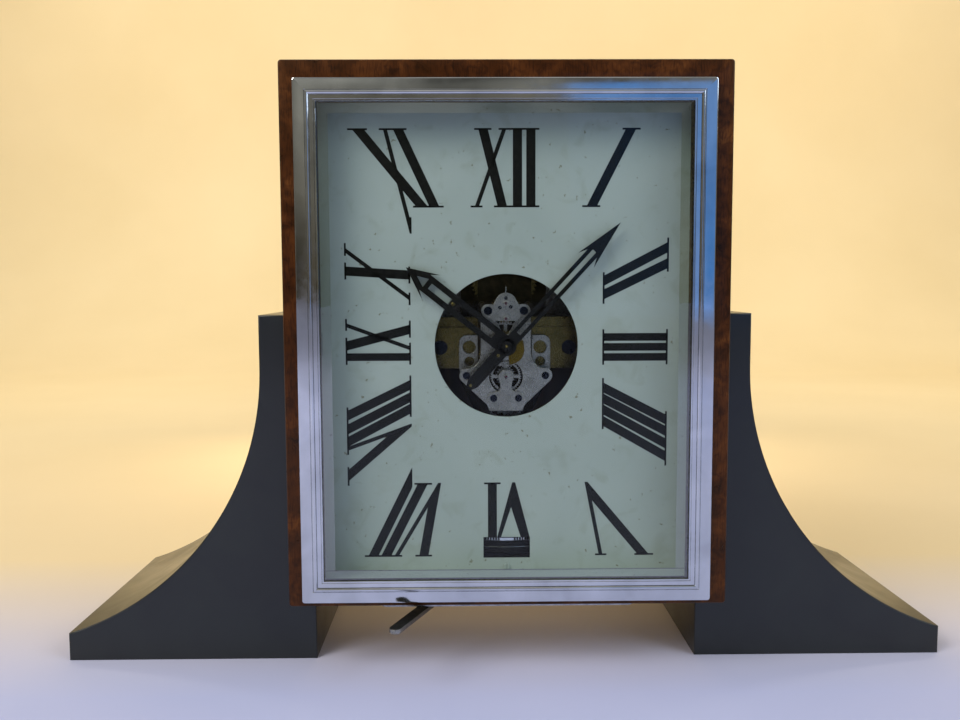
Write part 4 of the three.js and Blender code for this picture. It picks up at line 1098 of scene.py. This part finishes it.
def spokes(centre, reach, height):
    """The cross inside the pendulum's rim and its boss, drawn flat and then laid level."""
    z0, z1 = height
    half, boss, bore = 2.5, 7, 1.8
    corner = [(half, half), (half, reach), (-half, reach)]
    cross = [spun(point, (0, 0), 90 * i) for i in range(4) for point in corner]
    depth = (z0 + 3 * MM, z1 - 3 * MM)
    web = cut_sheet([cross, circle(bore)], depth, 0.3, ORIGIN)
    level = Matrix.Rotation(radians(90), 4, "X")
    web.transform(Matrix.Translation((centre.x, centre.y, 0)) @ level)
    profile = [(bore, z0), (boss - 0.4, z0), (boss, z0 + 0.4 * MM), (boss, z1 - 0.4 * MM)]
    profile += [(boss - 0.4, z1), (bore, z1)]
    hub = turned(profile, centre, "Z", 48)
    return piece("pendulum_spokes", merged(web, hub), "pendulum", "brass", RING_GILT)


# ---------------- everything else keeps its CAD shape
SOFT_EDGES = {
    "back_panel": 0.6,
    "back_screw_1": 0.25, "back_screw_2": 0.25, "back_screw_3": 0.25, "back_screw_4": 0.25,
    "glass_retainer": 0.1, "hinge_upper": 0.12, "hinge_lower": 0.12,
    "catch_stud": 0.15, "catch_block": 0.3,
    "frame_column_left": 0.5, "frame_column_right": 0.5, "base_plate": 0.3,
    "hour_wheel": 0.05, "minute_wheel": 0.05,
    "escape_wheel": 0.06, "intermediate_wheel": 0.06, "minute_arbor": 0.06, "barrel": 0.12,
    "pallet_fork": 0.08, "click": 0.1, "drum_pawl": 0.08,
    "winding_drum": 0.4, "drum_cover": 0.3, "expansion_tube": 0.1, "drum_yoke": 0.5,
    "pendulum_rod": 0.2, "suspension_bracket": 0.3,
    "under_plate": 0.25, "lock_lever": 0.45, "lever_stud": 0.3, "lock_plunger": 0.3,
}


def darken_faces(made, material):
    """Paints the flat top and bottom of a piece and leaves its rim bright."""
    made.data.materials.append(material)
    for face in made.data.polygons:
        if abs(face.normal.z) > 0.9:
            face.material_index = 1


# ---------------- studio
def floor_material():
    """Lavender in front of the clock, a painted blue reflection and shade; cream behind it."""
    s = Shader("floor", Roughness=0.75)
    lavender_painted_blue_light = s.ramp(s.noise(5, 4), [(0.3, (0.54, 0.58, 0.86)), (0.7, (0.59, 0.62, 0.89))])
    cream = s.ramp(s.noise(2.5, 4), [(0.3, (0.81, 0.66, 0.41)), (0.7, (0.86, 0.71, 0.46))])
    split = s.add("ShaderNodeSeparateXYZ")
    s.link(s.place, split.inputs["Vector"])
    # The painted blue reflection and shade in front give way to cream behind the clock.
    rise = s.add("ShaderNodeMapRange", {"From Min": -0.09, "From Max": 0.14})
    s.link(split.outputs["Y"], rise.inputs["Value"])
    s.color(s.blended(rise.outputs["Result"], lavender_painted_blue_light, cream))
    return s.material


def sweep():
    """The floor, which curves up behind the clock into the wall."""
    wide, front, bend, r, tall = 6.0, -9.0, 1.5, 0.8, 3.6
    curve = [(bend + y, r + z) for y, z in arc((0, 0), r, -90, 0, 24)]
    section = [(front, 0), (bend, 0), *curve[1:], (bend + r, tall)]
    mesh = bpy.data.meshes.new("sweep")
    points = [(side * wide, y, z) for side in (-1, 1) for y, z in section]
    count = len(section)
    mesh.from_pydata(points, [], [(i, i + count, i + count + 1, i + 1) for i in range(count - 1)])
    mesh.materials.append(floor_material())
    smooth(mesh, 60)
    new_object("sweep", mesh)


def studio():
    """The floor and the lights: (place, size, power, colour), aimed at the clock or at a target."""
    sweep()
    lights = {
        "key": ((-1.15, -1.1, 1.3), 1.0, 21, (1, 0.97, 0.93)),
        "fill": ((1.2, -0.9, 1.0), 0.9, 8, (0.72, 0.84, 1)),
        "blue_window": ((0.46, -1.5, 0.4), 0.55, 0.5, (0.02, 0.33, 1)),
        "wall_left": ((-1.0, 0.9, 1.5), 0.8, 14.5, (1, 0.92, 0.7)),
        "under_glow": ((0, 0.7, 0.14), 0.3, 2.4, (1, 0.74, 0.42)),
        "wall_right": ((1.1, 0.9, 1.5), 0.8, 15.5, (1, 0.9, 0.66)),
    }
    targets = {
        "wall_left": Vector((-0.7, 2.3, 0.3)),
        "wall_right": Vector((0.8, 2.3, 0.3)),
        "under_glow": ORIGIN,
    }
    for name, (at, size, power, color) in lights.items():
        data = bpy.data.lights.new(name, "AREA")
        data.size = size
        data.energy = power
        data.color = color
        lamp = new_object(name, data)
        lamp.location = at
        lamp.visible_camera = False
        aim = targets.get(name, Vector((0, 0, 0.17)))
        lamp.rotation_euler = (aim - Vector(at)).to_track_quat("-Z", "Y").to_euler()


def surroundings():
    """A soft room: brighter above, dim and mottled at eye level behind the viewer."""
    world = bpy.data.worlds.new("room")
    bpy.context.scene.world = world
    world.use_nodes = True
    tree = world.node_tree
    background = tree.nodes["Background"]
    place = tree.nodes.new("ShaderNodeTexCoord")
    split = tree.nodes.new("ShaderNodeSeparateXYZ")
    tree.links.new(place.outputs["Generated"], split.inputs["Vector"])
    ramp = tree.nodes.new("ShaderNodeValToRGB")
    stops = [
        (0.35, (0.42, 0.42, 0.55)),
        (0.5, (0.23, 0.195, 0.13)),
        (0.62, (0.44, 0.43, 0.37)),
        (0.9, (0.95, 0.93, 0.88)),
    ]
    set_stops(ramp, stops)
    height = tree.nodes.new("ShaderNodeMapRange")
    height.inputs["From Min"].default_value = -1
    tree.links.new(split.outputs["Z"], height.inputs["Value"])
    tree.links.new(height.outputs["Result"], ramp.inputs["Fac"])
    patches = tree.nodes.new("ShaderNodeTexNoise")
    patches.inputs["Scale"].default_value = 4.5
    tree.links.new(place.outputs["Generated"], patches.inputs["Vector"])
    contrast = tree.nodes.new("ShaderNodeMapRange")
    for socket, value in (("From Min", 0.35), ("From Max", 0.65), ("To Min", 0.35), ("To Max", 1.5)):
        contrast.inputs[socket].default_value = value
    tree.links.new(patches.outputs["Fac"], contrast.inputs["Value"])
    mottled = tree.nodes.new("ShaderNodeVectorMath")
    mottled.operation = "SCALE"
    tree.links.new(ramp.outputs["Color"], mottled.inputs[0])
    tree.links.new(contrast.outputs["Result"], mottled.inputs["Scale"])
    tree.links.new(mottled.outputs["Vector"], background.inputs["Color"])
    background.inputs["Strength"].default_value = 0.5


def camera():
    """The camera of the photograph, as calibrated from its straight edges."""
    yaw, pitch, roll = 0.0121, -0.0834, -0.0041
    data = bpy.data.cameras.new("camera")
    data.lens = 34.35
    made = new_object("camera", data)
    forward = Vector((sin(yaw) * cos(pitch), cos(yaw) * cos(pitch), sin(pitch)))
    right = Vector((cos(yaw), -sin(yaw), 0))
    upward = right.cross(forward)
    level_right = right * cos(roll) + upward * sin(roll)
    level_up = upward * cos(roll) - right * sin(roll)
    turn = Matrix((level_right, level_up, -forward)).transposed().to_4x4()
    made.matrix_world = Matrix.Translation((-0.01943, -0.52783, 0.20276)) @ turn
    bpy.context.scene.camera = made


# ---------------- the whole clock
bpy.context.scene.view_settings.view_transform = "Standard"
camera()
studio()
surroundings()
case()
for hand, way in SIDES.items():
    bracket(f"bracket_{hand}", way)
bezel()
knuckles()
glass()
dial()
hour_hand()
minute_hand()
hand_nut()
shield_plate()
trefoil_bridge()
lower_cock()
leaf_spring()
main_plate()
arms()
pendulum()
for node, width in SOFT_EDGES.items():
    softened(node, width)
# The back plate takes the very dark brass as painted shade.
softened("back_plate", 0.25, SHADED_BRASS)
# Black paint on both dial battens is painted shade, for the dark seen through the slot at VI.
softened("dial_batten_top", 0.5, PAINT)
softened("dial_batten_bottom", 0.5, PAINT)
softened("centre_wheel", 0.06, NICKEL, "nickel")
softened("third_wheel", 0.06, NICKEL, "nickel")
darken_faces(bpy.data.objects["lock_lever.fine"], PAINT)
for node in ("hinge_pin_upper", "hinge_pin_lower", "suspension_wire"):
    NODES[node].data.materials.clear()
    NODES[node].data.materials.append(STEEL)
